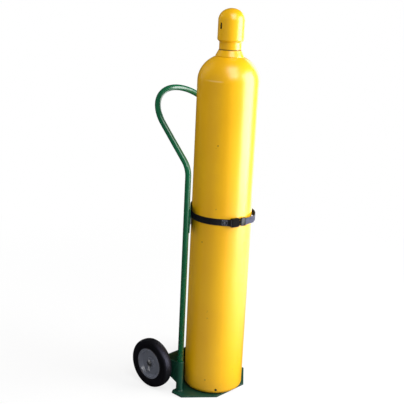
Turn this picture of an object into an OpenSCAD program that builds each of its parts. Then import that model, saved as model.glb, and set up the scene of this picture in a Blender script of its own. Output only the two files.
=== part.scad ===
// Gas cylinder trolley: a looped tube frame on a shoe plate, two wheels on a fixed axle,
// a saddle band with a webbing strap, and the steel gas cylinder that it carries.
// Millimetres. +X is the right side seen from the front, +Y points to the rear, +Z is up.
// The origin is on the floor, under the axis of the cylinder. Left is the -X side.

/* [Gas cylinder] */
// Outside diameter of the cylinder
cyl_d = 235; // [210:1:260]
// Height of the straight wall, from the base to the start of the shoulder
cyl_straight_h = 1240; // [1000:5:1400]
// Height that the shoulder dome would reach on the axis
shoulder_h = 103; // [85:1:120]
// Thickness of the steel wall
cyl_wall = 6; // [4:0.5:8]
// Radius of the rounded edge at the base
base_round = 18; // [10:1:26]
// Depth of the hollow in the base
base_dish = 22; // [12:1:30]
// Diameter of the neck at the top of the shoulder
neck_d = 60; // [50:1:64]
// Height of the neck above the dome's crown
neck_h = 34; // [26:1:44]

/* [Neck ring and valve cap] */
// Diameter of the neck ring where it meets the shoulder
ring_d = 108; // [100:1:116]
// Diameter of the neck ring's upper edge
ring_top_d = 86; // [80:1:92]
// Height of the neck ring's upper edge above the dome's crown
ring_rise = 13; // [8:1:18]
// Outside diameter of the threaded spigot on the neck ring
spigot_d = 72; // [68:1:76]
// Length of the threaded spigot
spigot_h = 22; // [14:1:26]
// Outside diameter of the valve cap's barrel
cap_d = 100; // [96:1:110]
// Length of the cap's straight barrel
cap_barrel_h = 71; // [60:1:90]
// Height of the cap's dome
cap_dome_h = 44; // [36:1:50]
// Outside diameter of the cap's threaded collar
cap_collar_d = 84; // [80:1:90]
// Length of the cap's threaded collar
cap_collar_h = 27; // [25:1:34]
// Length of the taper between the collar and the barrel
cap_taper_h = 8; // [5:1:12]
// Thickness of the cap's wall
cap_wall = 3.5; // [2.5:0.5:5]
// Gap that the screwed down cap leaves above the neck ring
cap_gap = 1.6; // [0.4:0.2:3]
// Width of each vent slot in the cap
vent_w = 9; // [6:0.5:12]
// Length of each vent slot in the cap
vent_h = 24; // [16:1:34]
// Direction in which the first vent slot faces, from +X
vent_angle = 172; // [0:1:359]
// Distance from the dome down to the top of each vent slot
vent_drop = 8; // [0:1:20]

/* [Valve] */
// Diameter of the brass valve body
valve_d = 32; // [26:1:36]
// Height of the valve body above the neck
valve_h = 50; // [42:1:54]
// Diameter of the threaded stub that goes down into the neck
valve_stub_d = 28; // [22:1:32]
// Diameter of the outlet
outlet_d = 21; // [16:1:23]
// Distance from the axis to the mouth of the outlet
outlet_reach = 27; // [25:1:28]
// Diameter of the handwheel
handwheel_d = 58; // [46:1:66]
// Thickness of the handwheel's rim
handwheel_t = 9; // [6:1:11]
// Diameter of the valve stem
stem_d = 9; // [7:0.5:11]

/* [Frame tube and handle] */
// Outside diameter of the frame tube
tube_d = 23; // [20:0.5:27]
// Wall of the frame tube
tube_wall = 2; // [1.5:0.25:3]
// Clear space between the cylinder and each upright
side_gap = 28; // [20:1:40]
// Distance of the uprights behind the cylinder's axis
upright_y = 38; // [30:1:46]
// Height at which the uprights' line meets the leaning legs' line
bend_z = 924; // [860:1:1000]
// Angle by which the handle leans back from upright
lean = 44; // [35:1:50]
// Radius of the backward bend
bend_r = 80; // [60:1:120]
// Length of the handle from the bend to the crown of its loop
handle_len = 364; // [300:1:420]

/* [Foot] */
// Thickness of the shoe plate
plate_t = 6; // [4:0.5:8]
// Width of the shoe plate
plate_w = 380; // [360:1:420]
// Distance of the plate's front edge before the cylinder's axis
plate_front = 99; // [90:1:115]
// Sideways size of the cut front corners
corner_x = 109; // [70:1:120]
// Depth of the cut front corners
corner_y = 93; // [60:1:100]
// Distance that the plate's straight sides run on behind the uprights
ear_rear = 9; // [6:1:14]
// Half width of the plate's rear edge
rear_half = 100; // [80:1:110]
// Wall of the sockets that hold the uprights
socket_wall = 2; // [1.5:0.25:3.5]
// Height of the sockets
socket_h = 124; // [110:1:140]
// Leg of the weld beads
weld_leg = 5; // [3:0.5:6]

/* [Axle brackets] */
// Thickness of the bracket plates
bracket_t = 6; // [4:0.5:8]
// How far a bracket's outer face lies inside its socket's outer side
bracket_inset = 4.5; // [3.5:0.5:6]
// Height of a bracket's top corner at the socket
bracket_top = 127; // [115:1:130]
// Height of a bracket's bottom corner at the socket
bracket_bottom = 34; // [25:1:45]
// Radius of a bracket's rounded end at the axle
bracket_end_r = 19; // [15:0.5:24]
// Thickness of the cross plate behind the cylinder
cross_t = 5; // [4:0.5:8]
// Height of the cross plate's top edge
cross_top = 127; // [115:1:140]
// Height of the cross plate's ends above its lower edge
cross_cut = 44; // [30:1:50]
// Clear space between the cylinder and the cross plate
cross_gap = 1.5; // [1:0.25:4]

/* [Saddle band] */
// Thickness of the saddle band
saddle_t = 3; // [2:0.5:5]
// Height of the saddle band
saddle_h = 92; // [60:1:110]
// Height of the saddle band's middle
saddle_z = 718; // [640:1:760]
// Clear space between the cylinder and the saddle band
saddle_gap = 3; // [2.75:0.25:5]
// Direction of the strap slots, to each side of straight back
slot_angle = 28; // [22:1:32]
// Width of each strap slot, as an angle
slot_sweep = 10; // [9:0.5:12]

/* [Strap and buckle] */
// Width of the webbing
strap_w = 25.4; // [20:0.1:30]
// Thickness of the webbing
strap_t = 1.5; // [1:0.1:1.8]
// Height of the strap's middle
strap_z = 727; // [700:1:740]
// Space that the slack side of the strap stands off the cylinder
strap_slack = 13; // [11:0.5:16]
// Direction in which the buckle faces, from +X
buckle_angle = -106.5; // [-125:0.5:-90]
// Half length of the closed buckle
buckle_half = 34; // [33:0.5:36]
// Thickness of the buckle
buckle_t = 9; // [8:0.5:10]
// Clear space between the cylinder and the buckle
buckle_gap = 1; // [0.5:0.25:2]
// Length of the sewn end of the webbing
sewn_len = 36; // [28:1:44]
// Length of the webbing's free tail, as an angle round the cylinder
tail_sweep = 24; // [15:1:30]
// Angle by which each clip arm is pressed in to let go
arm_press = 7; // [6:0.5:8]

/* [Wheels and axle] */
// Diameter of the tyres
wheel_d = 200; // [180:1:220]
// Width of the tyres
tyre_w = 44; // [36:1:50]
// Diameter of the rim where the tyre's side meets it
rim_d = 126; // [110:1:136]
// Radius of the tyre's shoulders
tyre_round = 12; // [8:0.5:15]
// Thickness of the pressed wheel discs
disc_t = 2; // [1.5:0.25:3]
// Depth of the wheel discs' dish below the rim's edge
dish_depth = 14; // [10:0.5:15]
// Outside diameter of the hub tube
hub_d = 30; // [28:0.5:34]
// Length of the hub tube
hub_len = 24; // [22:1:28]
// Diameter of the axle
axle_d = 15.9; // [14:0.1:18]
// Distance of the axle behind the cylinder's axis
axle_y = 152; // [148:1:165]
// Space between each bracket and the tyre's inner side
wheel_gap = 16; // [12:1:24]
// Thickness of the axle washers
washer_t = 1.5; // [1:0.25:2.5]
// Diameter of the axle washers
washer_d = 26; // [24:0.5:29]
// Diameter of the cotter pins
pin_d = 3.2; // [2.5:0.1:4]

/* [Clearances] */
// Radial clearance of the wheel bearings on the axle
bearing_fit = 0.06; // [0.02:0.01:0.1]
// Clearance of fixed pieces that slide over one another
slip_fit = 0.05; // [0:0.01:0.1]
// Gap between pieces that move past one another
run_gap = 0.4; // [0.3:0.05:0.6]

/* [Hidden] */
$fn = 96;
overcut = 1;

// Gas cylinder
cyl_r = cyl_d / 2;
cyl_base = plate_t + run_gap;
crown_z = cyl_base + cyl_straight_h + shoulder_h;
neck_top = crown_z + neck_h;
ring_top = crown_z + ring_rise;
cap_foot = ring_top + cap_gap;

// Valve, each height measured from the neck's top face
hex_h = 12;
gas_bore = 6;
outlet_share = 0.55;
outlet_z = neck_top + valve_h * outlet_share;
stem_share = 0.7;
stem_socket = neck_top + valve_h * stem_share;
stem_foot = stem_socket + run_gap;
packing_h = 10;
seat_gap = 4;
wheel_seat = neck_top + valve_h + packing_h + seat_gap;
stem_tip_d = stem_d * 0.7;
wheel_nut_h = 5;

// Uprights, handle and sockets
tube_r = tube_d / 2;
upright_x = cyl_r + side_gap + tube_r;
bend_tangent = bend_r * tan(lean / 2);
bend_start = bend_z - bend_tangent;
leg_len = handle_len - bend_tangent - upright_x;
socket_r = tube_r + slip_fit + socket_wall;
socket_top = plate_t + socket_h;

// Weld beads: shares of their leg at the foot, the belly and the hollow of their outline
bead_foot = 0.9;
bead_belly = 0.6;
bead_hollow = 0.35;
foot_reach = socket_r + weld_leg;

// Axle, brackets and wheels, each measured outwards along X
axle_r = axle_d / 2;
axle_z = wheel_d / 2;
bracket_out = upright_x + socket_r - bracket_inset;
bracket_in = bracket_out - bracket_t;
wheel_x = bracket_out + wheel_gap + tyre_w / 2;
rim_r = rim_d / 2;
band_t = 2.5;
band_r = rim_r - band_t;
rim_inset = 3.2;
rim_half = tyre_w / 2 - rim_inset;
hub_r = hub_d / 2;
bush_flange_t = 1.5;
bush_len = 9;
bush_wall = 3;
bush_r = hub_r - bush_wall;
hub_face = hub_len / 2 + bush_flange_t;
washer_in = hub_face + run_gap;
spacer_wall = 3.5;
pin_x = wheel_x + washer_in + washer_t + slip_fit + pin_d / 2;
axle_tip = 3;
axle_half = pin_x + pin_d / 2 + axle_tip;
tip_bevel = 1.5;
cross_y = cyl_r + cross_gap;
cross_bottom = plate_t;

// Saddle band: an arc behind the cylinder, and a flat wing to each upright, touching the tube
saddle_r = cyl_r + saddle_gap;
saddle_mid = saddle_r + saddle_t / 2;
upright_reach = norm([upright_x, upright_y]);
wing_lead = acos((saddle_mid + tube_r + saddle_t / 2) / upright_reach);
wing_angle = atan2(upright_y, upright_x) + wing_lead;
wing_len = upright_reach * sin(wing_lead);
wing_end = 9;
slot_room = 4;
slot_h = strap_w + slot_room;

// Buckle, in its own frame: x out from the cylinder, y along the strap, z up
buckle_mid = buckle_gap + buckle_t / 2;
buckle_front = buckle_gap + buckle_t;
buckle_wall = 1.6;
bar_r = 1.8;
bar_y = buckle_half - bar_r - 0.2;
bar_room = 0.4;
turn_r = bar_r + bar_room / 2 + strap_t / 2;
socket_half_z = strap_w / 2 + 4.3;
socket_mouth = 2;
socket_corner = 3;
edge_wall = buckle_wall + 0.8;
cavity_back = -21;
clip_half_z = strap_w / 2 + 2.8;
clip_front = 13;
clip_corner = 2;
clip_inset = 0.5;
tongue_back = -18;
slot_half_z = strap_w / 2 + 0.6;
window_front = -4;
window_back = -14.5;
arm_t = 3;
arm_root_y = clip_front - run_gap - arm_t / 2;
arm_z = 11;
arm_x = buckle_t - 2 * buckle_wall - 2 * run_gap;
guide_half_z = arm_z - arm_t / 2 - (arm_root_y - window_back) * sin(arm_press) - run_gap;

// Plan route of the webbing's middle line. It starts at the sewn end, turns round the socket's bar,
// lies on the cylinder's left side, goes out and in through the saddle's slots, stands off
// the cylinder on the right, turns round the clip's bar and ends in the free tail.
full_turn = -360;
route_step = 4;
turn_steps = 8;
turn_sweep = 200;
layer_gap = 0.1;
layer_step = strap_t + layer_gap;
strap_r = cyl_r + run_gap + strap_t / 2;
slack_r = cyl_r + strap_slack + strap_t / 2;
back_r = saddle_r + saddle_t + run_gap + strap_t / 2;
sock_bar = turned([cyl_r + buckle_mid, -bar_y], buckle_angle);
clip_bar = turned([cyl_r + buckle_mid, bar_y], buckle_angle);
sock_dir = atan2(sock_bar[1], sock_bar[0]);
clip_dir = atan2(clip_bar[1], clip_bar[0]);

// The taut side leaves the cylinder along the line that touches it and the turn round the bar
taut_dir = sock_dir - acos((strap_r + turn_r) / norm(sock_bar));
taut_out = polar(1, taut_dir);
taut_along = polar(1, taut_dir - 90);
taut_start = sock_bar - turn_r * taut_out;
sewn_open = 13;
sewn_end = [
    taut_start + sewn_len * taut_along + layer_step * taut_out,
    taut_start + sewn_open * taut_along + layer_step * taut_out
];
sock_lead = 20;
sock_turn = arc(sock_bar, turn_r, taut_dir - sock_lead, taut_dir - sock_lead + turn_sweep, turn_steps);

// Middle radius against direction, from the clip's bar round the right side to the taut side
clip_in_r = norm(clip_bar) - turn_r;
left_slot = 90 + slot_angle + full_turn;
right_slot = 90 - slot_angle + full_turn;
slot_margin = 1.5;
pass = slot_sweep / 2 - slot_margin;
lift_sweep = 22;
slack_end = -40;
side_dir = -12;
side_rise = 3;
ease_step = 1 / 6;
rear_dir = 40;
rear_lift = 0.6;
in_lift = 0.4;
out_lift = 0.1;
settle_sweep = 6;
side_ease = [
    for (t = [ease_step:ease_step:1 - ease_step / 2])
    let (share = (1 - cos(180 * t)) / 2)
    [
        side_dir + (rear_dir - side_dir) * t + full_turn,
        (slack_r + side_rise) * (1 - share) + (strap_r + rear_lift) * share
    ]
];
route_r = [
    [clip_dir + full_turn, clip_in_r],
    [clip_dir + lift_sweep + full_turn, slack_r],
    [slack_end + full_turn, slack_r],
    [side_dir + full_turn, slack_r + side_rise],
    each side_ease,
    [rear_dir + full_turn, strap_r + rear_lift],
    [right_slot - pass, strap_r + in_lift],
    [right_slot + pass, back_r],
    [left_slot - pass, back_r],
    [left_slot + pass, strap_r + out_lift],
    [left_slot + pass + settle_sweep, strap_r],
    [taut_dir, strap_r]
];
round_trip = [
    for (k = [len(route_r) - 1:-1:1])
    let (from = route_r[k][0], to = route_r[k - 1][0], n = ceil((from - to) / route_step))
    for (i = [0:n - 1])
    let (a = from + (to - from) * i / n)
    polar(lookup(a, route_r), a)
];
clip_lead = 10;
clip_turn_from = clip_dir - 180 - clip_lead;
clip_turn = arc(clip_bar, turn_r, clip_turn_from, clip_turn_from + turn_sweep, turn_steps);
tail_lift = 3 * layer_gap + layer_step;
tail_lead = 9;
tail_step = 3;
tail = [
    for (a = [clip_dir + tail_lead:tail_step:clip_dir + tail_sweep])
    polar(lookup(a + full_turn, route_r) + tail_lift, a)
];
route = concat(sewn_end, sock_turn, round_trip, clip_turn, tail);

green = [0.05, 0.30, 0.15];
yellow = [0.85, 0.62, 0.05];
black = [0.06, 0.06, 0.07];
grey = [0.42, 0.44, 0.47];
steel = [0.62, 0.63, 0.65];
brass = [0.75, 0.60, 0.28];

// Point at radius r and angle a
function polar(r, a) = r * [cos(a), sin(a)];

// Point p turned about the origin by angle a
function turned(p, a) = [p[0] * cos(a) - p[1] * sin(a), p[0] * sin(a) + p[1] * cos(a)];

// Points on an arc about c, from angle a to b in n steps
function arc(c, r, a, b, n) = [for (i = [0:n]) c + polar(r, a + (b - a) * i / n)];

// Point where the line from p touches the circle (c, r), on side s
function touch(p, c, r, s) =
    let (a = atan2(p[1] - c[1], p[0] - c[0]), b = acos(r / norm(p - c)))
    c + polar(r, a + s * b);

// Height of the shoulder's outside at radius r
function dome_z(r) = cyl_base + cyl_straight_h + shoulder_h * sqrt(1 - pow(r / cyl_r, 2));

// Point at angle a on an upright oval with half sizes r and h, whose middle is at height z
function oval(r, h, z, a) = [r * cos(a), z + h * sin(a)];

// Draws the children on the right, or mirrored on the left
module on_side(s) {
    mirror([s < 0 ? 1 : 0, 0, 0]) children();
}

// Stands a plan drawn in (y, z) up, with its thickness along +X
module upright_plan(t) {
    rotate([90, 0, 90]) linear_extrude(t) children();
}

// Ring with a hole, along +Z
module ring(r_out, r_in, h) {
    linear_extrude(h) difference() {
        circle(r_out);
        circle(r_in);
    }
}

module tube_section() {
    difference() {
        circle(tube_r);
        circle(tube_r - tube_wall);
    }
}

// One upright, from the shoe plate to the end of its backward bend
module upright(s) {
    color(green) union() {
        translate([s * upright_x, upright_y, plate_t]) linear_extrude(bend_start - plate_t) tube_section();
        translate([s * upright_x, upright_y + bend_r, bend_start]) rotate([90, 0, -90])
            rotate_extrude(angle = lean) translate([bend_r, 0]) tube_section();
    }
}

// Two leaning legs and the half round loop that joins them, butted on the uprights' bends
module handle_loop() {
    color(green) translate([0, upright_y + bend_r, bend_start]) rotate([-lean, 0, 0])
        translate([0, -bend_r, slip_fit]) union() {
            for (s = [-1, 1]) translate([s * upright_x, 0, 0]) linear_extrude(leg_len) tube_section();
            translate([0, 0, leg_len]) rotate([90, 0, 0]) rotate_extrude(angle = 180)
                translate([upright_x, 0]) tube_section();
        }
}

module upright_socket(s) {
    color(green) translate([s * upright_x, upright_y, plate_t]) ring(socket_r, tube_r + slip_fit, socket_h);
}

// Flat plate: cut front corners, straight sides, ears round the sockets' feet and a narrower rear
module shoe_plate() {
    ear_y = upright_y + foot_reach;
    ear_in = upright_x - foot_reach;
    half = [
        [plate_w / 2 - corner_x, -plate_front], [plate_w / 2, corner_y - plate_front],
        [plate_w / 2, upright_y + ear_rear], [upright_x + foot_reach, ear_y], [ear_in, ear_y],
        [rear_half, ear_y + ear_in - rear_half], [rear_half, cross_y + cross_t]
    ];
    other = [for (i = [len(half) - 1:-1:0]) [-half[i][0], half[i][1]]];
    color(green) linear_extrude(plate_t) polygon(concat(half, other));
}

// Side plate from its socket back to a round end with the axle's bore
module axle_bracket(s) {
    axle_at = [axle_y, axle_z];
    top = [upright_y, bracket_top];
    bottom = [upright_y, bracket_bottom];
    color(green) on_side(s) difference() {
        translate([bracket_in, 0, 0]) upright_plan(bracket_t) union() {
            polygon([
                bottom, touch(bottom, axle_at, bracket_end_r, 1),
                touch(top, axle_at, bracket_end_r, -1), top
            ]);
            translate(axle_at) circle(bracket_end_r);
        }
        translate([upright_x, upright_y, 0]) cylinder(r = socket_r, h = socket_top + overcut);
        translate([bracket_in - overcut, axle_y, axle_z]) rotate([0, 90, 0])
            cylinder(r = axle_r + slip_fit, h = bracket_t + 2 * overcut);
    }
}

// Plate behind the cylinder, from the shoe plate up, with its ends cut off below the brackets
module cross_plate() {
    color(green) translate([0, cross_y + cross_t, 0]) rotate([90, 0, 0]) linear_extrude(cross_t)
        polygon([
            [-rear_half, cross_bottom], [rear_half, cross_bottom], [bracket_in, cross_bottom + cross_cut],
            [bracket_in, cross_top], [-bracket_in, cross_top], [-bracket_in, cross_bottom + cross_cut]
        ]);
}

// Window through the band, centred on direction a
module strap_slot(a) {
    translate([0, 0, strap_z - slot_h / 2]) rotate([0, 0, a - slot_sweep / 2])
        rotate_extrude(angle = slot_sweep) translate([saddle_r - overcut, 0])
            square([saddle_t + 2 * overcut, slot_h]);
}

// Outline of one face of the band at distance r from the axis: wing, arc and wing
function band_face(r) =
    let (reach = wing_len + wing_end, left = 180 - wing_angle, steps = 36)
    concat(
        [polar(r, wing_angle) + polar(reach, wing_angle - 90)], arc([0, 0], r, wing_angle, left, steps),
        [polar(r, left) + polar(reach, left + 90)]
    );

module saddle_band() {
    inner = band_face(saddle_r);
    outer = band_face(saddle_r + saddle_t);
    back = [for (i = [len(inner) - 1:-1:0]) inner[i]];
    color(green) difference() {
        translate([0, 0, saddle_z - saddle_h / 2]) linear_extrude(saddle_h) polygon(concat(outer, back));
        strap_slot(90 - slot_angle);
        strap_slot(90 + slot_angle);
    }
}

// Beads round each socket's foot and on its top edge
module socket_welds() {
    lip_rise = 1.4;
    foot = [
        [socket_r, 0], [socket_r + weld_leg * bead_foot, 0],
        [socket_r + weld_leg * bead_belly, weld_leg * bead_belly], [socket_r, weld_leg]
    ];
    lip = [
        [tube_r, 0], [socket_r, 0], [tube_r + socket_wall * bead_belly, socket_wall * bead_foot],
        [tube_r, socket_wall * lip_rise]
    ];
    color(green) for (s = [-1, 1]) translate([s * upright_x, upright_y, 0]) {
        translate([0, 0, plate_t]) rotate_extrude() polygon(foot);
        translate([0, 0, socket_top]) rotate_extrude() polygon(lip);
    }
}

// Beads where the cross plate's rear face meets the brackets, clear of their sloping edges
module bracket_welds() {
    low_inset = 25;
    top_inset = 10;
    low = cross_bottom + cross_cut + low_inset;
    top = min(cross_top, bracket_top) - top_inset;
    bead = [[0, 0], [0, weld_leg], [-weld_leg * bead_hollow, weld_leg * bead_hollow], [-weld_leg, 0]];
    color(green) for (s = [-1, 1]) on_side(s)
        translate([bracket_in, cross_y + cross_t, low]) linear_extrude(top - low) polygon(bead);
}

// Beads in the two narrow corners between each wing and its upright
module saddle_welds() {
    near = 2;
    far = tube_r * 0.75;
    deep = tube_r * 0.2;
    color(green) for (s = [-1, 1]) on_side(s)
        translate([0, 0, saddle_z - saddle_h / 2 + weld_leg]) linear_extrude(saddle_h - 2 * weld_leg)
            rotate(wing_angle) translate([saddle_r + saddle_t, -wing_len])
                for (e = [-1, 1]) difference() {
                    polygon([[slip_fit, e * near], [slip_fit, e * far], [deep, e * far], [deep, e * near]]);
                    translate([tube_r, 0]) circle(tube_r);
                }
}

// Round rod with bevelled ends and a cross hole for each cotter pin
module axle() {
    color(steel) difference() {
        rotate([0, 90, 0]) translate([-axle_z, axle_y, -axle_half]) rotate_extrude()
            polygon([
                [0, 0], [axle_r - tip_bevel, 0], [axle_r, tip_bevel], [axle_r, 2 * axle_half - tip_bevel],
                [axle_r - tip_bevel, 2 * axle_half], [0, 2 * axle_half]
            ]);
        for (s = [-1, 1]) translate([s * pin_x, axle_y, axle_z - axle_r - overcut])
            cylinder(d = pin_d + 2 * slip_fit, h = 2 * axle_r + 2 * overcut);
    }
}

// Draws a ring on the axle, from x outwards, on side s
module axle_ring(s, x, t, r_out, r_in) {
    on_side(s) translate([x, axle_y, axle_z]) rotate([0, 90, 0]) ring(r_out, r_in, t);
}

module axle_spacers() {
    spacer_len = wheel_x - washer_in - washer_t - bracket_out;
    color(steel) for (s = [-1, 1])
        axle_ring(s, bracket_out, spacer_len, axle_r + spacer_wall, axle_r + slip_fit);
}

module axle_washers() {
    color(steel) for (s = [-1, 1]) {
        axle_ring(s, wheel_x - washer_in - washer_t, washer_t, washer_d / 2, axle_r + slip_fit);
        axle_ring(s, wheel_x + washer_in, washer_t, washer_d / 2, axle_r + slip_fit);
    }
}

// Split pin: a shank through the axle, an eye above it and two legs that hang a little apart below
module cotter_pins() {
    eye_r = pin_d * 1.3;
    eye_mid = eye_r - pin_d / 4;
    eye_wire = pin_d * 0.8;
    leg_z = axle_r + pin_d;
    leg_d = pin_d * 0.7;
    leg_len = pin_d * 6;
    leg_spread = 14;
    color(steel) for (s = [-1, 1]) translate([s * pin_x, axle_y, axle_z]) {
        translate([0, 0, -leg_z]) cylinder(d = pin_d, h = leg_z + axle_r);
        translate([0, 0, axle_r + eye_r]) rotate([0, 90, 0]) rotate_extrude() translate([eye_mid, 0])
            circle(d = eye_wire);
        for (e = [-1, 1]) translate([0, 0, -leg_z]) rotate([e * leg_spread, 0, 0])
            translate([0, 0, -leg_len]) cylinder(d = leg_d, h = leg_len);
        translate([0, 0, -leg_z]) sphere(d = pin_d);
    }
}

// Wheel pieces are drawn round +Z, with +Z towards the wheel's outer side
module on_wheel(s) {
    on_side(s) translate([wheel_x, axle_y, axle_z]) rotate([0, 90, 0]) children();
}

// Solid tyre: a lip and a groove round the rim, a flat side, a round shoulder and a crowned tread
module tyre(s) {
    half = tyre_w / 2;
    tread_r = wheel_d / 2;
    crown = 1.2;
    edge_end = 8;
    edge_steps = 6;
    bead = [rim_r, half - 3];
    lip = [1.5, 0.8];
    groove = [3, -0.4];
    side_foot = [5, 1.2];
    side_w = 10;
    edge_mid = [tread_r - tyre_round - crown, half - tyre_round];
    outline = concat(
        [bead, bead + lip, bead + groove, bead + side_foot, [rim_r + side_w, half]],
        arc(edge_mid, tyre_round, 90, edge_end, edge_steps), [[tread_r, 0]]
    );
    other = [for (i = [len(outline) - 2:-1:0]) [outline[i][0], -outline[i][1]]];
    color(black) on_wheel(s) rotate_extrude() polygon(concat(outline, other));
}

module rim_band(s) {
    color(grey) on_wheel(s) ring_at(band_r, rim_r, -rim_half, rim_half);
}

// Ring between two radii and two heights
module ring_at(r_in, r_out, z0, z1) {
    translate([0, 0, z0]) ring(r_out, r_in, z1 - z0);
}

// Pressed disc: a collar on the hub, a raised boss, a dished face and a flange inside the rim band
module wheel_disc(s, face) {
    edge_z = rim_half - 1;
    flange_z = edge_z - 2 * disc_t;
    half_gap = 0.5;
    web_z = max(rim_half - dish_depth, disc_t + half_gap);
    under_z = web_z - disc_t;
    collar_z = max(hub_len / 2 - 2, web_z + disc_t);
    collar_r = hub_r + 5;
    boss_r = hub_r + 9;
    web_r = band_r - 12;
    edge_r = band_r - 4;
    outline = [
        [hub_r, collar_z], [collar_r, collar_z], [boss_r, web_z], [web_r, web_z], [edge_r, edge_z],
        [band_r, edge_z], [band_r, flange_z], [edge_r + disc_t, flange_z], [web_r + disc_t / 2, under_z],
        [boss_r - disc_t / 2, under_z], [hub_r + disc_t, collar_z - disc_t], [hub_r + disc_t, under_z],
        [hub_r, under_z]
    ];
    color(grey) on_wheel(s) mirror([0, 0, face < 0 ? 1 : 0]) rotate_extrude() polygon(outline);
}

module hub_tube(s) {
    color(grey) on_wheel(s) ring_at(bush_r, hub_r, -hub_len / 2, hub_len / 2);
}

// Flanged bush pressed into each end of the hub tube
module wheel_bushes(s) {
    bore = axle_r + bearing_fit;
    flange_r = hub_r - 2;
    end = hub_len / 2;
    inner = end - bush_len;
    color(steel) on_wheel(s) for (e = [0, 1]) mirror([0, 0, e]) rotate_extrude()
        polygon([
            [bore, inner], [bush_r, inner], [bush_r, end], [flange_r, end], [flange_r, hub_face],
            [bore, hub_face]
        ]);
}

// Outline of the cylinder's steel, outside first and then inside
module cylinder_shell() {
    foot_w = 8;
    foot_r = cyl_r - base_round;
    dish_r = foot_r - foot_w;
    neck_r = neck_d / 2;
    bore_r = valve_stub_d / 2;
    in_r = cyl_r - cyl_wall;
    in_h = shoulder_h - cyl_wall;
    floor_z = base_dish + cyl_wall;
    neck_z = neck_top - cyl_base;
    dish_steps = 8;
    base_steps = 6;
    steps = 24;
    neck_turn = acos(neck_r / cyl_r);
    bore_turn = acos(bore_r / in_r);
    dish = [for (i = [0:dish_steps]) [dish_r * i / dish_steps, base_dish * (1 - pow(i / dish_steps, 2))]];
    base = arc([foot_r, base_round], base_round, -90, 0, base_steps);
    shoulder = [for (i = [0:steps]) oval(cyl_r, shoulder_h, cyl_straight_h, neck_turn * i / steps)];
    neck = [[neck_r, neck_z], [bore_r, neck_z]];
    inside = [for (i = [steps:-1:0]) oval(in_r, in_h, cyl_straight_h, bore_turn * i / steps)];
    bottom = [[in_r, floor_z + base_round], [foot_r, floor_z], [0, floor_z]];
    color(yellow) translate([0, 0, cyl_base]) rotate_extrude()
        polygon(concat(dish, base, shoulder, neck, inside, bottom));
}

// Ring that follows the shoulder underneath, with a cone outside and a spigot for the cap
module neck_ring() {
    neck_r = neck_d / 2 + slip_fit;
    lip = 3;
    steps = 6;
    under = [for (i = [0:steps])
        let (r = neck_r + (ring_d / 2 - neck_r) * i / steps)
        [r, dome_z(r) + slip_fit]];
    outer = [
        [ring_d / 2, dome_z(ring_d / 2) + lip], [ring_top_d / 2, ring_top], [spigot_d / 2, ring_top],
        [spigot_d / 2, ring_top + spigot_h], [neck_r, ring_top + spigot_h]
    ];
    color(yellow) rotate_extrude() polygon(concat(under, outer));
}

// Vent through the cap's wall, with round ends
module vent_slot(a) {
    vent_z = cap_foot + cap_collar_h + cap_taper_h + cap_barrel_h - vent_drop - vent_h / 2;
    rotate([0, 0, a]) translate([0, 0, vent_z]) rotate([0, 90, 0]) linear_extrude(cap_d) union() {
        square([vent_h - vent_w, vent_w], center = true);
        for (e = [-1, 1]) translate([e * (vent_h - vent_w) / 2, 0]) circle(vent_w / 2);
    }
}

// Cap: a threaded collar, a taper, a straight barrel and a dome, hollow, with a vent on two sides
module valve_cap() {
    steps = 14;
    cap_r = cap_d / 2;
    thread_r = spigot_d / 2 + run_gap;
    taper_z = cap_foot + cap_collar_h;
    barrel_z = taper_z + cap_taper_h;
    dome_base = barrel_z + cap_barrel_h;
    in_r = cap_r - cap_wall;
    in_h = cap_dome_h - cap_wall;
    collar = [
        [thread_r, cap_foot], [cap_collar_d / 2, cap_foot], [cap_collar_d / 2, taper_z], [cap_r, barrel_z]
    ];
    outside = [for (i = [0:steps]) oval(cap_r, cap_dome_h, dome_base, 90 * i / steps)];
    inside = [for (i = [steps:-1:0]) oval(in_r, in_h, dome_base, 90 * i / steps)];
    throat = [[in_r, barrel_z + cap_wall], [thread_r, taper_z]];
    color(yellow) difference() {
        rotate_extrude() polygon(concat(collar, outside, inside, throat));
        vent_slot(vent_angle);
        vent_slot(vent_angle + 180);
    }
}

// Brass valve: a threaded stub in the neck, a hexagon, a round body and an outlet towards the front
module valve_body() {
    stub_depth = 30;
    stub_foot = neck_top - stub_depth;
    hex_d = valve_d * 1.15;
    outlet_bore = outlet_d / 2;
    color(brass) difference() {
        union() {
            translate([0, 0, stub_foot]) cylinder(d = valve_stub_d - 2 * slip_fit, h = stub_depth);
            translate([0, 0, neck_top]) cylinder(d = hex_d, h = hex_h, $fn = 6);
            translate([0, 0, neck_top + hex_h]) cylinder(d = valve_d, h = valve_h - hex_h);
            translate([0, 0, outlet_z]) rotate([90, 0, 0]) cylinder(d = outlet_d, h = outlet_reach);
        }
        translate([0, 0, outlet_z]) rotate([90, 0, 0]) cylinder(d = outlet_bore, h = outlet_reach + overcut);
        translate([0, 0, stub_foot - overcut]) cylinder(d = gas_bore, h = outlet_z - stub_foot + overcut);
        translate([0, 0, stem_socket]) cylinder(d = stem_d + 2 * run_gap, h = valve_h);
    }
}

// Pressure relief plug on the valve's rear side
module safety_plug() {
    shank_d = 14;
    shank_len = 4;
    head_d = 16;
    head_len = 7;
    sunk = 1;
    color(brass) translate([0, valve_d / 2 - sunk, outlet_z]) rotate([-90, 0, 0]) difference() {
        union() {
            cylinder(d = shank_d, h = shank_len);
            translate([0, 0, shank_len]) cylinder(d = head_d, h = head_len, $fn = 6);
        }
        translate([0, 0, sunk - valve_d / 2]) rotate([90, 0, 0])
            cylinder(d = valve_d, h = valve_d, center = true);
    }
}

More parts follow.
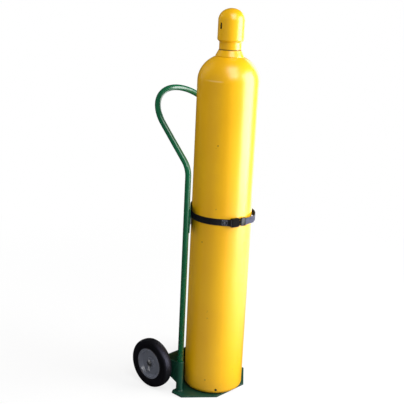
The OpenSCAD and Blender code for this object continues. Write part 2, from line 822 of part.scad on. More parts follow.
// Dust nut screwed over the outlet
module outlet_cap() {
    end_t = 3;
    nut_d = outlet_d + 2 * end_t;
    nut_len = end_t + outlet_reach - valve_d / 2 - 2 * overcut;
    color(brass) translate([0, -outlet_reach - end_t, outlet_z]) rotate([-90, 0, 0]) difference() {
        cylinder(d = nut_d, h = nut_len, $fn = 6);
        translate([0, 0, end_t]) cylinder(d = outlet_d + 2 * slip_fit, h = nut_len);
    }
}

module packing_nut() {
    nut_d = valve_d * 0.85;
    color(brass) translate([0, 0, neck_top + valve_h]) difference() {
        cylinder(d = nut_d, h = packing_h, $fn = 6);
        translate([0, 0, -overcut]) cylinder(d = stem_d + 2 * run_gap, h = packing_h + 2 * overcut);
    }
}

module valve_stem() {
    tip_h = handwheel_t + wheel_nut_h + overcut;
    color(steel) union() {
        translate([0, 0, stem_foot]) cylinder(d = stem_d, h = wheel_seat - stem_foot);
        translate([0, 0, wheel_seat]) cylinder(d = stem_tip_d, h = tip_h);
    }
}

// Handwheel with a rounded rim, four spokes and a hub bored for the stem
module valve_handwheel() {
    rim = handwheel_t / 2;
    hub_wall = 4;
    spoke_w = 7;
    spoke_t = 4;
    color(black) translate([0, 0, wheel_seat]) difference() {
        union() {
            translate([0, 0, rim]) rotate_extrude() translate([handwheel_d / 2 - rim, 0]) circle(rim);
            cylinder(d = stem_d + 2 * hub_wall, h = handwheel_t);
            for (a = [0, 90]) rotate([0, 0, a]) translate([0, 0, rim])
                cube([handwheel_d - 2 * rim, spoke_w, spoke_t], center = true);
        }
        translate([0, 0, -overcut]) cylinder(d = stem_tip_d + 2 * slip_fit, h = handwheel_t + 2 * overcut);
    }
}

module handwheel_nut() {
    nut_d = stem_d * 1.4;
    color(steel) translate([0, 0, wheel_seat + handwheel_t]) difference() {
        cylinder(d = nut_d, h = wheel_nut_h, $fn = 6);
        translate([0, 0, -overcut]) cylinder(d = stem_tip_d + 2 * slip_fit, h = wheel_nut_h + 2 * overcut);
    }
}

// Places children in the buckle's frame
module at_buckle() {
    rotate([0, 0, buckle_angle]) translate([cyl_r, 0, strap_z]) children();
}

// Block with cut corners seen along x, from y0 to y1 and half height h
module buckle_block(x0, x1, y0, y1, h, cut) {
    translate([x0, 0, 0]) upright_plan(x1 - x0) polygon([
        [y0 + cut, -h], [y1 - cut, -h], [y1, -h + cut], [y1, h - cut], [y1 - cut, h], [y0 + cut, h],
        [y0, h - cut], [y0, -h + cut]
    ]);
}

module buckle_bar(y) {
    translate([buckle_mid, y, -slot_half_z - overcut]) cylinder(r = bar_r, h = 2 * slot_half_z + 2 * overcut);
}

// Opening that the webbing passes through, on both sides of a round bar
module bar_opening(s) {
    x0 = buckle_gap - overcut;
    near = bar_y - turn_r - strap_t / 2 - bar_room;
    far = buckle_half + overcut;
    translate([x0, s > 0 ? near : -far, -slot_half_z])
        cube([buckle_t + 2 * overcut, far - near, 2 * slot_half_z]);
}

// Receiving half: a flat hollow block with an open mouth and a window at its top and bottom edge
module buckle_socket() {
    inner_x = buckle_gap + buckle_wall;
    inner_t = buckle_t - 2 * buckle_wall;
    inner_z = socket_half_z - edge_wall;
    color(black) at_buckle() union() {
        difference() {
            buckle_block(buckle_gap, buckle_front, -buckle_half, socket_mouth, socket_half_z, socket_corner);
            translate([inner_x, cavity_back, -inner_z])
                cube([inner_t, socket_mouth - cavity_back + overcut, 2 * inner_z]);
            translate([inner_x, window_back, -socket_half_z - overcut])
                cube([inner_t, window_front - window_back, 2 * socket_half_z + 2 * overcut]);
            bar_opening(-1);
        }
        buckle_bar(-bar_y);
    }
}

// Inserted half: a webbing frame with a round bar, and a middle tongue that guides it
module buckle_clip() {
    x0 = buckle_gap + clip_inset;
    x1 = buckle_front - clip_inset;
    color(black) at_buckle() union() {
        difference() {
            buckle_block(x0, x1, clip_front, buckle_half, clip_half_z, clip_corner);
            bar_opening(1);
        }
        buckle_bar(bar_y);
        translate([buckle_mid - arm_x / 2, tongue_back, -guide_half_z])
            cube([arm_x, clip_front - tongue_back + overcut, 2 * guide_half_z]);
    }
}

// Springy side arm with a barb in the socket's window; e is 1 for the upper one
module clip_arm(e) {
    barb_out = socket_half_z - 0.6;
    barb_low = barb_out - 1;
    barb_tip = 2;
    barb_ramp = 4;
    barb_front = window_front - run_gap;
    barb_back = window_back + run_gap;
    z0 = arm_z - arm_t / 2;
    z1 = arm_z + arm_t / 2;
    outline = [
        [arm_root_y, z0], [arm_root_y, z1], [barb_front, z1], [barb_front, barb_low],
        [barb_front - barb_tip, barb_out], [barb_back + barb_ramp, barb_low], [barb_back, z1], [barb_back, z0]
    ];
    color(black) at_buckle() mirror([0, 0, e < 0 ? 1 : 0]) translate([buckle_mid - arm_x / 2, 0, 0])
        upright_plan(arm_x) union() {
            polygon(outline);
            translate([arm_root_y, arm_z]) circle(arm_t / 2);
        }
}

// Sideways direction of the route at point i
function route_side(i) =
    let (a = route[max(i - 1, 0)], b = route[min(i + 1, len(route) - 1)], d = (b - a) / norm(b - a))
    [-d[1], d[0]];

module strap() {
    last = len(route) - 1;
    one = [for (i = [0:last]) route[i] + strap_t / 2 * route_side(i)];
    two = [for (i = [last:-1:0]) route[i] - strap_t / 2 * route_side(i)];
    color(black) translate([0, 0, strap_z - strap_w / 2]) linear_extrude(strap_w) polygon(concat(one, two));
}

upright(-1);  // left_upright
upright(1);  // right_upright
handle_loop();
upright_socket(-1);  // left_socket
upright_socket(1);  // right_socket
shoe_plate();
axle_bracket(-1);  // left_axle_bracket
axle_bracket(1);  // right_axle_bracket
cross_plate();
saddle_band();
socket_welds();
bracket_welds();
saddle_welds();
axle();
axle_spacers();
axle_washers();
cotter_pins();
strap();
buckle_socket();
buckle_clip();
clip_arm(1);  // upper_clip_arm
clip_arm(-1);  // lower_clip_arm
tyre(-1);  // left_tyre
rim_band(-1);  // left_rim_band
wheel_disc(-1, 1);  // left_outer_disc
wheel_disc(-1, -1);  // left_inner_disc
hub_tube(-1);  // left_hub_tube
wheel_bushes(-1);  // left_bushes
tyre(1);  // right_tyre
rim_band(1);  // right_rim_band
wheel_disc(1, 1);  // right_outer_disc
wheel_disc(1, -1);  // right_inner_disc
hub_tube(1);  // right_hub_tube
wheel_bushes(1);  // right_bushes
cylinder_shell();
neck_ring();
valve_body();
safety_plug();
outlet_cap();
packing_nut();
valve_stem();
valve_handwheel();
handwheel_nut();
valve_cap();
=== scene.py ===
import math

import bmesh
import bpy
from mathutils import Matrix, Vector


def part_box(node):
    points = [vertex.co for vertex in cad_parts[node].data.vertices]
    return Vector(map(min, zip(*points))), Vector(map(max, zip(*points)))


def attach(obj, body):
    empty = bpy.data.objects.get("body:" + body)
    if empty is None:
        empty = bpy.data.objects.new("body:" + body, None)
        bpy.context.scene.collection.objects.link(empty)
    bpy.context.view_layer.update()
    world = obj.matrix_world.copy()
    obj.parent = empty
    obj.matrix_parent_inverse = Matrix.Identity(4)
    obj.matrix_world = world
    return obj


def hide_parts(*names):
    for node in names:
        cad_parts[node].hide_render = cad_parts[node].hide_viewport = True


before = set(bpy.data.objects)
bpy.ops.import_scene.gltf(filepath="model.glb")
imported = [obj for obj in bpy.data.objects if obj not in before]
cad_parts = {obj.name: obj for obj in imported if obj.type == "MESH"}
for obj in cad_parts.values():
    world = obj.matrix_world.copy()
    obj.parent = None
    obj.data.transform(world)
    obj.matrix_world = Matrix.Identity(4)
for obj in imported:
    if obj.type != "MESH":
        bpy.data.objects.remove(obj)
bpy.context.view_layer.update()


# Shoe plate. One flat steel plate that the trolley is welded up from and that the cylinder stands on. Its
# front corners are cut off and an ear lies under each socket. All is sprayed green, and the paint near the
# floor is a darker green that paints in the shade falling there, and more worn, so both enamels and the tools
# shared by the pieces stand here too.
def clear_selection():
    """Leaves nothing selected, so that the next operator acts on the new piece alone"""
    bpy.ops.object.select_all(action="DESELECT")


def take_piece(name):
    """Names the object just added, moves its place into its mesh and sets selection by points"""
    piece = bpy.context.object
    piece.name = name
    piece.data.name = name
    bpy.ops.object.transform_apply(location=True, rotation=True, scale=True)
    bpy.context.tool_settings.mesh_select_mode = (True, False, False)
    return piece


def work_on(piece):
    """Makes a piece the only selected one"""
    clear_selection()
    piece.select_set(True)
    bpy.context.view_layer.objects.active = piece


def open_mesh():
    """Opens the active piece's mesh with all of it selected"""
    bpy.ops.object.mode_set(mode="EDIT")
    bpy.ops.mesh.select_all(action="SELECT")


def close_mesh():
    """Closes the mesh that is open"""
    bpy.ops.object.mode_set(mode="OBJECT")


def pick(piece, kind, test):
    """In edit mode, selects the vertices, edges or faces whose middle passes the test"""
    bpy.ops.mesh.select_mode(type=kind)
    bpy.ops.mesh.select_all(action="DESELECT")
    work = bmesh.from_edit_mesh(piece.data)
    parts = {"VERT": work.verts, "EDGE": work.edges, "FACE": work.faces}[kind]
    for part in parts:
        corners = [part] if kind == "VERT" else part.verts
        middle = sum((corner.co for corner in corners), Vector()) / len(corners)
        part.select_set(test(middle))
    work.select_flush_mode()
    bmesh.update_edit_mesh(piece.data)


def pull(move):
    """In edit mode, extrudes what is selected along a vector"""
    bpy.ops.mesh.extrude_region_move(TRANSFORM_OT_translate={"value": move})


def cut_off(point, outward):
    """In edit mode, saws the piece along a plane, drops what lies outward of it and closes the cut"""
    bpy.ops.mesh.select_all(action="SELECT")
    bpy.ops.mesh.bisect(plane_co=point, plane_no=outward, use_fill=True, clear_outer=True)


def apply_all(piece):
    """Applies a piece's modifiers in their order"""
    work_on(piece)
    for modifier in list(piece.modifiers):
        bpy.ops.object.modifier_apply(modifier=modifier.name)


def soften(piece, width, segments=3, angle=30):
    """Rounds the sharp edges a little, as grinding and paint do, and shades the rest smooth"""
    edges = piece.modifiers.new("edges", "BEVEL")
    edges.width = width
    edges.segments = segments
    edges.limit_method = "ANGLE"
    edges.angle_limit = math.radians(angle)
    flats = piece.modifiers.new("flats", "WEIGHTED_NORMAL")
    flats.keep_sharp = True
    work_on(piece)
    bpy.ops.object.shade_smooth()
    apply_all(piece)


def node_of(tree, kind, inputs=None, **settings):
    """Adds a shader node, sets its properties, and sets or links its inputs"""
    node = tree.nodes.new(kind)
    for key, value in settings.items():
        setattr(node, key, value)
    for key, value in (inputs or {}).items():
        if isinstance(value, bpy.types.NodeSocket):
            tree.links.new(value, node.inputs[key])
        else:
            node.inputs[key].default_value = value
    return node


def noise(tree, place, scale, detail=2.0, rough=0.5):
    """Cloudy noise in the surface's own coordinates, with its scale in cycles per metre"""
    settings = {"Vector": place, "Scale": scale, "Detail": detail, "Roughness": rough}
    return node_of(tree, "ShaderNodeTexNoise", settings).outputs["Fac"]


def mask(tree, value, low, high, out=1.0):
    """Spreads a value from low to high over 0 to out, and holds it there"""
    settings = {"Value": value, "From Min": low, "From Max": high, "To Min": 0.0, "To Max": out}
    return node_of(tree, "ShaderNodeMapRange", settings).outputs["Result"]


def maths(tree, operation, one, two=0.0):
    """One sum on two values"""
    return node_of(tree, "ShaderNodeMath", {0: one, 1: two}, operation=operation).outputs[0]


def scaled(tree, value, share, base=0.0):
    """A value times a share, on top of a base"""
    inputs = {0: value, 1: share, 2: base}
    return node_of(tree, "ShaderNodeMath", inputs, operation="MULTIPLY_ADD").outputs[0]


def blend_colours(tree, amount, one, two):
    """Goes from colour one to colour two by an amount, on the node's sockets for colours"""
    first, second, mixed = 6, 7, 2
    inputs = {0: amount, first: one, second: two}
    return node_of(tree, "ShaderNodeMix", inputs, data_type="RGBA").outputs[mixed]


def new_group(name, inputs, outputs):
    """Starts a shader node group with named sockets, and gives its tree and its inputs"""
    tree = bpy.data.node_groups.new(name, "ShaderNodeTree")
    for label, kind in inputs:
        tree.interface.new_socket(name=label, in_out="INPUT", socket_type="NodeSocket" + kind)
    for label, kind in outputs:
        tree.interface.new_socket(name=label, in_out="OUTPUT", socket_type="NodeSocket" + kind)
    return tree, tree.nodes.new("NodeGroupInput").outputs


def new_material(name):
    """Starts a material, and gives it with its tree, its shader and the object's own coordinates"""
    material = bpy.data.materials.new(name)
    material.use_nodes = True
    tree = material.node_tree
    place = tree.nodes.new("ShaderNodeTexCoord").outputs["Object"]
    return material, tree, tree.nodes["Principled BSDF"], place


def set_surface(tree, shader, colour, rough, height, distance):
    """Feeds a surface's colour, roughness and relief to its shader"""
    bump = node_of(tree, "ShaderNodeBump", {"Height": height, "Distance": distance})
    tree.links.new(colour, shader.inputs["Base Color"])
    tree.links.new(rough, shader.inputs["Roughness"])
    tree.links.new(bump.outputs["Normal"], shader.inputs["Normal"])


def set_values(shader, values):
    """Sets constant values on a shader's own sockets"""
    for key, value in values.items():
        shader.inputs[key].default_value = value


# Sprayed enamel: cloudy tone, faint runs, scuffs, chips along the edges and orange peel
enamel, given = new_group(
    "enamel",
    [("Place", "Vector"), ("Colour", "Color"), ("Shade", "Color"), ("Under", "Color"), ("Rough", "Float"),
     ("Wear", "Float"), ("Peel", "Float")],
    [("Colour", "Color"), ("Roughness", "Float"), ("Height", "Float")],
)
run_stretch = (1.0, 1.0, 0.07)
scuff_shade = 0.35
scuff_rough = 0.22
chip_rough = 0.4
peel_height = 0.35
stretched = node_of(
    enamel, "ShaderNodeVectorMath", {0: given["Place"], 1: run_stretch}, operation="MULTIPLY"
).outputs[0]
cloud = mask(enamel, noise(enamel, given["Place"], scale=3.0, detail=5.0), low=0.38, high=0.72, out=0.55)
runs = mask(enamel, noise(enamel, stretched, scale=24.0, detail=3.0), low=0.45, high=0.8, out=0.35)
tone = blend_colours(enamel, maths(enamel, "ADD", cloud, runs), given["Colour"], given["Shade"])
scuff = mask(enamel, noise(enamel, given["Place"], scale=13.0, detail=9.0, rough=0.72), low=0.58, high=0.68)
scuff = scaled(enamel, scuff, given["Wear"])
ridge = mask(enamel, enamel.nodes.new("ShaderNodeNewGeometry").outputs["Pointiness"], low=0.53, high=0.6)
broken = mask(enamel, noise(enamel, given["Place"], scale=70.0, detail=4.0, rough=0.6), low=0.52, high=0.6)
speck = mask(enamel, noise(enamel, given["Place"], scale=34.0, detail=2.0), low=0.745, high=0.765)
chip = maths(enamel, "MAXIMUM", scaled(enamel, ridge, broken), speck)
chip = scaled(enamel, chip, given["Wear"])
peel = noise(enamel, given["Place"], scale=given["Peel"], detail=2.0)
dulled = blend_colours(enamel, scaled(enamel, scuff, scuff_shade), tone, given["Shade"])
rough = scaled(enamel, scuff, scuff_rough, given["Rough"])
rough = scaled(enamel, chip, chip_rough, rough)
height = maths(enamel, "SUBTRACT", scaled(enamel, peel, peel_height), chip)
node_of(
    enamel, "NodeGroupOutput",
    {"Colour": blend_colours(enamel, chip, dulled, given["Under"]), "Roughness": rough, "Height": height},
)


def lay_skin(group, name, relief, values, **inputs):
    """A material with a shared effect laid on its shader, and the shader's own values"""
    material, tree, shader, place = new_material(name)
    inputs = {key.capitalize(): value for key, value in inputs.items()}
    skin = node_of(tree, "ShaderNodeGroup", {"Place": place, **inputs}, node_tree=group, name="skin").outputs
    set_surface(tree, shader, skin["Colour"], skin["Roughness"], skin["Height"], distance=relief)
    set_values(shader, values)
    return material


def enamel_finish(name, colour, shade, under, rough, wear, peel, relief, coat, coat_rough=0.06, gloss=0.5):
    """Sprayed enamel in one colour"""
    values = {"Coat Weight": coat, "Coat Roughness": coat_rough, "Specular IOR Level": gloss}
    return lay_skin(enamel, name, relief, values, colour=colour, shade=shade, under=under, rough=rough,
                    wear=wear, peel=peel)


frame_green = enamel_finish(
    "frame_green", colour=(0.008, 0.125, 0.05, 1.0), shade=(0.004, 0.07, 0.03, 1.0),
    under=(0.05, 0.045, 0.04, 1.0), rough=0.22, wear=0.4, peel=420.0, relief=0.0004, coat=0.4,
)
# Darker green for the plate and the low parts: painted shade, and more wear than the frame above
shaded_foot_green = enamel_finish(
    "shaded_foot_green", colour=(0.006, 0.058, 0.034, 1.0), shade=(0.004, 0.027, 0.019, 1.0),
    under=(0.05, 0.045, 0.04, 1.0), rough=0.3, wear=0.8, peel=420.0, relief=0.0004, coat=0.2,
)


def dress(piece, material, slot, body, *nodes):
    """Gives a piece its finish, hangs it on the body it moves with and hides the solids it stands for"""
    piece.data.materials.clear()
    piece.data.materials.append(material)
    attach(piece, body)
    if nodes:
        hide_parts(*nodes)


def paint_frame(piece, material, *nodes):
    """Paints a piece of the fixed frame"""
    dress(piece, material, "frame_paint", "trolley_frame", *nodes)


corner_x = 0.109
corner_y = 0.093
ear_side = 0.009
weld_leg = 0.005
rear_half = 0.1
plate_edge = 0.0008
plate_low, plate_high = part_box("shoe_plate")
socket_low, socket_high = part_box("right_socket")
upright_x = (socket_low.x + socket_high.x) / 2
upright_y = (socket_low.y + socket_high.y) / 2
socket_r = (socket_high.x - socket_low.x) / 2
foot_reach = socket_r + weld_leg
ear_y = upright_y + foot_reach
ear_in = upright_x - foot_reach
plate_t = plate_high.z - plate_low.z
taper_y = ear_y + ear_in - rear_half
clear_selection()
bpy.ops.mesh.primitive_cube_add(
    size=1, location=(0, (plate_low.y + ear_y) / 2, plate_t / 2),
    scale=(2 * plate_high.x, ear_y - plate_low.y, plate_t),
)
plate = take_piece("shoe_plate_skin")
open_mesh()
for side in (-1, 1):
    cut_off((side * plate_high.x, plate_low.y + corner_y, 0), (side * corner_y, -corner_x, 0))
    ear_cut = (plate_high.x - upright_x - foot_reach, foot_reach - ear_side)
    cut_off((side * plate_high.x, upright_y + ear_side, 0), (side * ear_cut[1], ear_cut[0], 0))
    bpy.ops.mesh.select_all(action="SELECT")
    bpy.ops.mesh.bisect(plane_co=(side * ear_in, 0, 0), plane_no=(1, 0, 0))
pick(plate, "FACE", lambda m: m.y > ear_y - plate_edge and abs(m.x) < ear_in - plate_edge)
pull((0, taper_y - ear_y, 0))
bpy.ops.transform.resize(value=(rear_half / ear_in, 1, 1))
pull((0, plate_high.y - taper_y, 0))
bpy.ops.mesh.select_all(action="SELECT")
bpy.ops.mesh.dissolve_limited(angle_limit=math.radians(1))
close_mesh()
soften(plate, plate_edge)
paint_frame(plate, shaded_foot_green, "shoe_plate")


# Sockets. A short sleeve of larger tube stands on each ear of the plate, welded all round its foot, and the
# frame tube is pushed down into it. Sawn square, with the saw's burr taken off both ends.
def turned(name, profile, sides=96):
    """Draws a ring at the profile's first (radius, height) and extrudes it from point to point round Z"""
    clear_selection()
    radius, level = profile[0]
    bpy.ops.mesh.primitive_circle_add(vertices=sides, radius=radius, location=(0, 0, level))
    piece = take_piece(name)
    open_mesh()
    for next_radius, next_level in profile[1:]:
        pull((0, 0, next_level - level))
        share = next_radius / radius
        bpy.ops.transform.resize(value=(share, share, 1), center_override=(0, 0, next_level))
        radius, level = next_radius, next_level
    bpy.ops.mesh.select_all(action="SELECT")
    bpy.ops.mesh.remove_doubles(threshold=0.00001)
    bpy.ops.mesh.delete_loose()
    bpy.ops.mesh.select_all(action="SELECT")
    bpy.ops.mesh.normals_make_consistent(inside=False)
    close_mesh()
    return piece


def put(piece, place):
    """Turns and moves a finished mesh to its place, and leaves its object at the origin"""
    piece.data.transform(place)
    piece.data.update()


def copy_of(piece, name):
    """A copy of a piece with a mesh of its own"""
    copy = bpy.data.objects.new(name, piece.data.copy())
    copy.data.name = name
    bpy.context.scene.collection.objects.link(copy)
    return copy


sleeve_bore = 0.01155
sleeve_burr = 0.0004
sleeve_h = socket_high.z - socket_low.z
sleeve = turned("left_socket_sleeve", [
    (sleeve_bore, 0), (socket_r, 0), (socket_r, sleeve_h), (sleeve_bore, sleeve_h), (sleeve_bore, 0),
])
soften(sleeve, sleeve_burr)
other_sleeve = copy_of(sleeve, "right_socket_sleeve")
for piece, side, node in ((sleeve, -1, "left_socket"), (other_sleeve, 1, "right_socket")):
    put(piece, Matrix.Translation((side * upright_x, upright_y, socket_low.z)))
    paint_frame(piece, shaded_foot_green, node)


# Frame tube. One length of round steel tube: an upright on each side of the cylinder, a backward bend,
# two leaning legs and the half round loop that is the handle. Bent cold on a former, then painted.
tube_sides = 48
bend_steps = 14
loop_steps = 40
tube_r = 0.0115
tube_wall = 0.002
lean = math.radians(44)
bend_r = 0.08
bend_z = 0.924
handle_len = 0.364
bend_tangent = bend_r * math.tan(lean / 2)
bend_start = bend_z - bend_tangent
leg_len = handle_len - bend_tangent - upright_x
along_leg = Vector((0, math.sin(lean), math.cos(lean)))
loop_axis = Vector((0, -math.cos(lean), math.sin(lean)))
loop_mid = Vector((0, upright_y, bend_z)) + along_leg * (handle_len - upright_x)
clear_selection()
bpy.ops.mesh.primitive_circle_add(
    vertices=tube_sides, radius=tube_r, location=(-upright_x, upright_y, plate_t)
)
tube = take_piece("frame_tube")
open_mesh()
pull((0, 0, bend_start - plate_t))
bend_mid = (-upright_x, upright_y + bend_r, bend_start)
bpy.ops.mesh.spin(steps=bend_steps, angle=lean, center=bend_mid, axis=(1, 0, 0))
pull(along_leg * leg_len)
bpy.ops.mesh.spin(steps=loop_steps, angle=math.pi, center=loop_mid, axis=loop_axis)
pull(-along_leg * leg_len)
bend_mid = (upright_x, upright_y + bend_r, bend_start)
bpy.ops.mesh.spin(steps=bend_steps, angle=lean, center=bend_mid, axis=(-1, 0, 0))
pull((0, 0, plate_t - bend_start))
bpy.ops.mesh.select_all(action="SELECT")
bpy.ops.mesh.remove_doubles(threshold=0.00001)
bpy.ops.mesh.normals_make_consistent(inside=False)
close_mesh()
bpy.ops.object.shade_smooth()
wall = tube.modifiers.new("wall", "SOLIDIFY")
wall.thickness = tube_wall
wall.offset = -1
apply_all(tube)
paint_frame(tube, frame_green, "left_upright", "right_upright", "handle_loop")


# Socket welds. A fillet bead runs round each socket's foot, and a smaller one closes its top edge against
# the tube. Laid by hand with a rod, so each bead is a row of small overlapping ripples under the paint.
def weld_ring(name, radius, bead, ripples):
    """A rippled bead bent into a ring about Z"""
    segments_each = 4
    swell = bead * 0.22
    clear_selection()
    bpy.ops.mesh.primitive_torus_add(
        major_radius=radius, minor_radius=bead, major_segments=ripples * segments_each, minor_segments=12
    )
    piece = take_piece(name)
    open_mesh()
    step = 2 * math.pi / ripples

    def on_crest(m):
        turn = math.atan2(m.y, m.x) / step
        return abs(turn - round(turn)) < 0.5 / segments_each

    pick(piece, "VERT", on_crest)
    bpy.ops.transform.shrink_fatten(value=swell)
    close_mesh()
    bpy.ops.object.shade_smooth()
    return piece


def join_pieces(pieces, name):
    """Makes one piece of several"""
    work_on(pieces[0])
    for piece in pieces[1:]:
        piece.select_set(True)
    bpy.ops.object.join()
    pieces[0].name = name
    pieces[0].data.name = name
    return pieces[0]


foot_bead = 0.0026
foot_ripples = 22
lip_bead = 0.0014
lip_ripples = 26
# How far a bead's middle stands out of its corner, as a share of its radius
bead_out = 0.3
lip_rise = 0.4
beads = []
for side in (-1, 1):
    foot = weld_ring("foot_bead", socket_r + foot_bead * bead_out, foot_bead, foot_ripples)
    put(foot, Matrix.Translation((side * upright_x, upright_y, plate_t + foot_bead * bead_out)))
    lip = weld_ring("lip_bead", tube_r + lip_bead * bead_out, lip_bead, lip_ripples)
    put(lip, Matrix.Translation((side * upright_x, upright_y, socket_high.z + lip_bead * lip_rise)))
    beads += [foot, lip]
socket_beads = join_pieces(beads, "socket_weld_beads")
paint_frame(socket_beads, shaded_foot_green, "socket_welds")


# Axle brackets and cross plate. Flame cut side plates run back from the sockets to a round end with the
# axle's bore, and one upright plate behind the cylinder ties them together. Edges ground, then painted.
def softened_copy(node, name, width, segments=3):
    """A copy of a solid with its triangles joined into faces and its sharp edges rounded a little"""
    piece = bpy.data.objects.new(name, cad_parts[node].data.copy())
    piece.data.name = name
    bpy.context.scene.collection.objects.link(piece)
    work_on(piece)
    open_mesh()
    bpy.ops.mesh.remove_doubles(threshold=0.000005)
    bpy.ops.mesh.dissolve_limited(angle_limit=math.radians(0.5))
    close_mesh()
    if piece.data.has_custom_normals:
        bpy.ops.mesh.customdata_custom_splitnormals_clear()
    soften(piece, width, segments=segments)
    return piece


flame_cut_edge = 0.0008
for node in ("left_axle_bracket", "right_axle_bracket", "cross_plate"):
    piece = softened_copy(node, node + "_skin", flame_cut_edge)
    paint_frame(piece, shaded_foot_green, node)


# Bracket welds. A short upright bead on each side, where the rear face of the cross plate meets the bracket.
# Laid by hand in one pass like the beads at the sockets, and painted with them.
pole_r = 0.000001


def weld_rod(name, bead, length):
    """A straight rippled bead, standing on Z"""
    ripple = 0.0022
    end_share = 0.2
    hollow_share = 0.86
    steps = max(2, round(length / ripple)) * 2
    profile = [(pole_r, 0), (bead * end_share, 0)]
    profile += [(bead * (1.0 if i % 2 else hollow_share), length * i / steps) for i in range(1, steps)]
    profile += [(bead * end_share, length), (pole_r, length)]
    rod = turned(name, profile, sides=12)
    work_on(rod)
    bpy.ops.object.shade_smooth()
    return rod


rod_bead = 0.0034
weld_low, weld_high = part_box("bracket_welds")
beads = []
for side in (-1, 1):
    rod = weld_rod("bracket_bead", rod_bead, weld_high.z - weld_low.z)
    rod_x = side * (weld_high.x - rod_bead * bead_out)
    put(rod, Matrix.Translation((rod_x, weld_low.y + rod_bead * bead_out, weld_low.z)))
    beads.append(rod)
bracket_beads = join_pieces(beads, "bracket_weld_beads")
paint_frame(bracket_beads, shaded_foot_green, "bracket_welds")


# Saddle band. A strip of sheet rolled to the cylinder's radius, with a flat wing welded to each upright and a
# slot near each end for the strap. It takes the cylinder's weight when the trolley is tipped back.
sheared_edge = 0.0005
saddle = softened_copy("saddle_band", "saddle_band_skin", sheared_edge)
paint_frame(saddle, frame_green, "saddle_band")
saddle_beads = softened_copy("saddle_welds", "saddle_weld_beads", sheared_edge)
paint_frame(saddle_beads, frame_green, "saddle_welds")


# Axle and its fittings. A bright steel rod through both brackets, with a spacer and a washer inside each
# wheel, a washer outside it and a split pin through each end. The steel is brushed and a little tarnished,
# and the pins are dull zinc.
worked_metal, given = new_group(
    "worked_metal",
    [("Place", "Vector"), ("Colour", "Color"), ("Tarnish", "Color"), ("Amount", "Float")],
    [("Colour", "Color"), ("Roughness", "Float"), ("Height", "Float")],
)
brush_stretch = (0.08, 1.0, 1.0)
brush_rough = 0.25
bright_rough = 0.2
stain_rough = 0.25
lines = node_of(
    worked_metal, "ShaderNodeVectorMath", {0: given["Place"], 1: brush_stretch}, operation="MULTIPLY"
).outputs[0]
brushed = noise(worked_metal, lines, scale=900.0, detail=3.0)
blotch = noise(worked_metal, given["Place"], scale=55.0, detail=6.0, rough=0.65)
stain = mask(worked_metal, blotch, low=0.45, high=0.7)
stain = scaled(worked_metal, stain, given["Amount"])
rough = scaled(worked_metal, brushed, brush_rough, bright_rough)
rough = scaled(worked_metal, stain, stain_rough, rough)
node_of(
    worked_metal, "NodeGroupOutput",
    {"Colour": blend_colours(worked_metal, stain, given["Colour"], given["Tarnish"]), "Roughness": rough,
     "Height": brushed},
)


def metal_finish(name, colour, tarnish, amount, bare=1.0):
    """Bare metal with brushed lines and stains, or less bare where it is dulled"""
    return lay_skin(worked_metal, name, relief=0.0001, values={"Metallic": bare}, colour=colour,
                    tarnish=tarnish, amount=amount)


def repaint(nodes, material):
    """Gives solids that are shown as they are a better finish"""
    for node in nodes:
        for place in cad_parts[node].material_slots:
            place.material = material


bright_steel = metal_finish(
    "bright_steel", colour=(0.52, 0.53, 0.55, 1.0), tarnish=(0.22, 0.16, 0.11, 1.0), amount=0.6
)
repaint(("axle", "axle_spacers", "axle_washers"), bright_steel)
dull_zinc = metal_finish(
    "dull_zinc", colour=(0.66, 0.67, 0.7, 1.0), tarnish=(0.4, 0.38, 0.36, 1.0), amount=0.5, bare=0.3
)
repaint(("cotter_pins",), dull_zinc)


# Tyres. Solid black rubber moulded on the rim, with a smooth crowned tread, round shoulders, a raised ring on
# the side and a groove round the rim. The rubber is dusty in its hollows and has a faint grey bloom.
rubber, tree, shader, place = new_material("tyre_rubber")
rubber_black = (0.0035, 0.0035, 0.004, 1.0)
rubber_dust = (0.012, 0.011, 0.018, 1.0)
bloom_share = 0.35
hollow_share = 0.5
dusty_rough = 0.3
clean_rough = 0.42
grain = noise(tree, place, scale=900.0, detail=3.0)
bloom = mask(tree, noise(tree, place, scale=16.0, detail=6.0, rough=0.6), low=0.42, high=0.75)
hollow = mask(tree, tree.nodes.new("ShaderNodeNewGeometry").outputs["Pointiness"], low=0.49, high=0.44)
bloom = scaled(tree, bloom, bloom_share)
dusty = maths(tree, "MAXIMUM", bloom, scaled(tree, hollow, hollow_share))
rubber_colour = blend_colours(tree, dusty, rubber_black, rubber_dust)
rubber_rough = scaled(tree, dusty, dusty_rough, clean_rough)
set_surface(tree, shader, rubber_colour, rubber_rough, grain, distance=0.0002)
set_values(shader, {"Specular IOR Level": 0.35, "Specular Tint": (0.7, 0.7, 1.0, 1.0)})

tyre_low, tyre_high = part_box("right_tyre")
wheel_mid = (tyre_low + tyre_high) / 2
wheel_r = (tyre_high.z - tyre_low.z) / 2
tyre_half = (tyre_high.x - tyre_low.x) / 2
rim_r = 0.063
bead_drop = 0.003
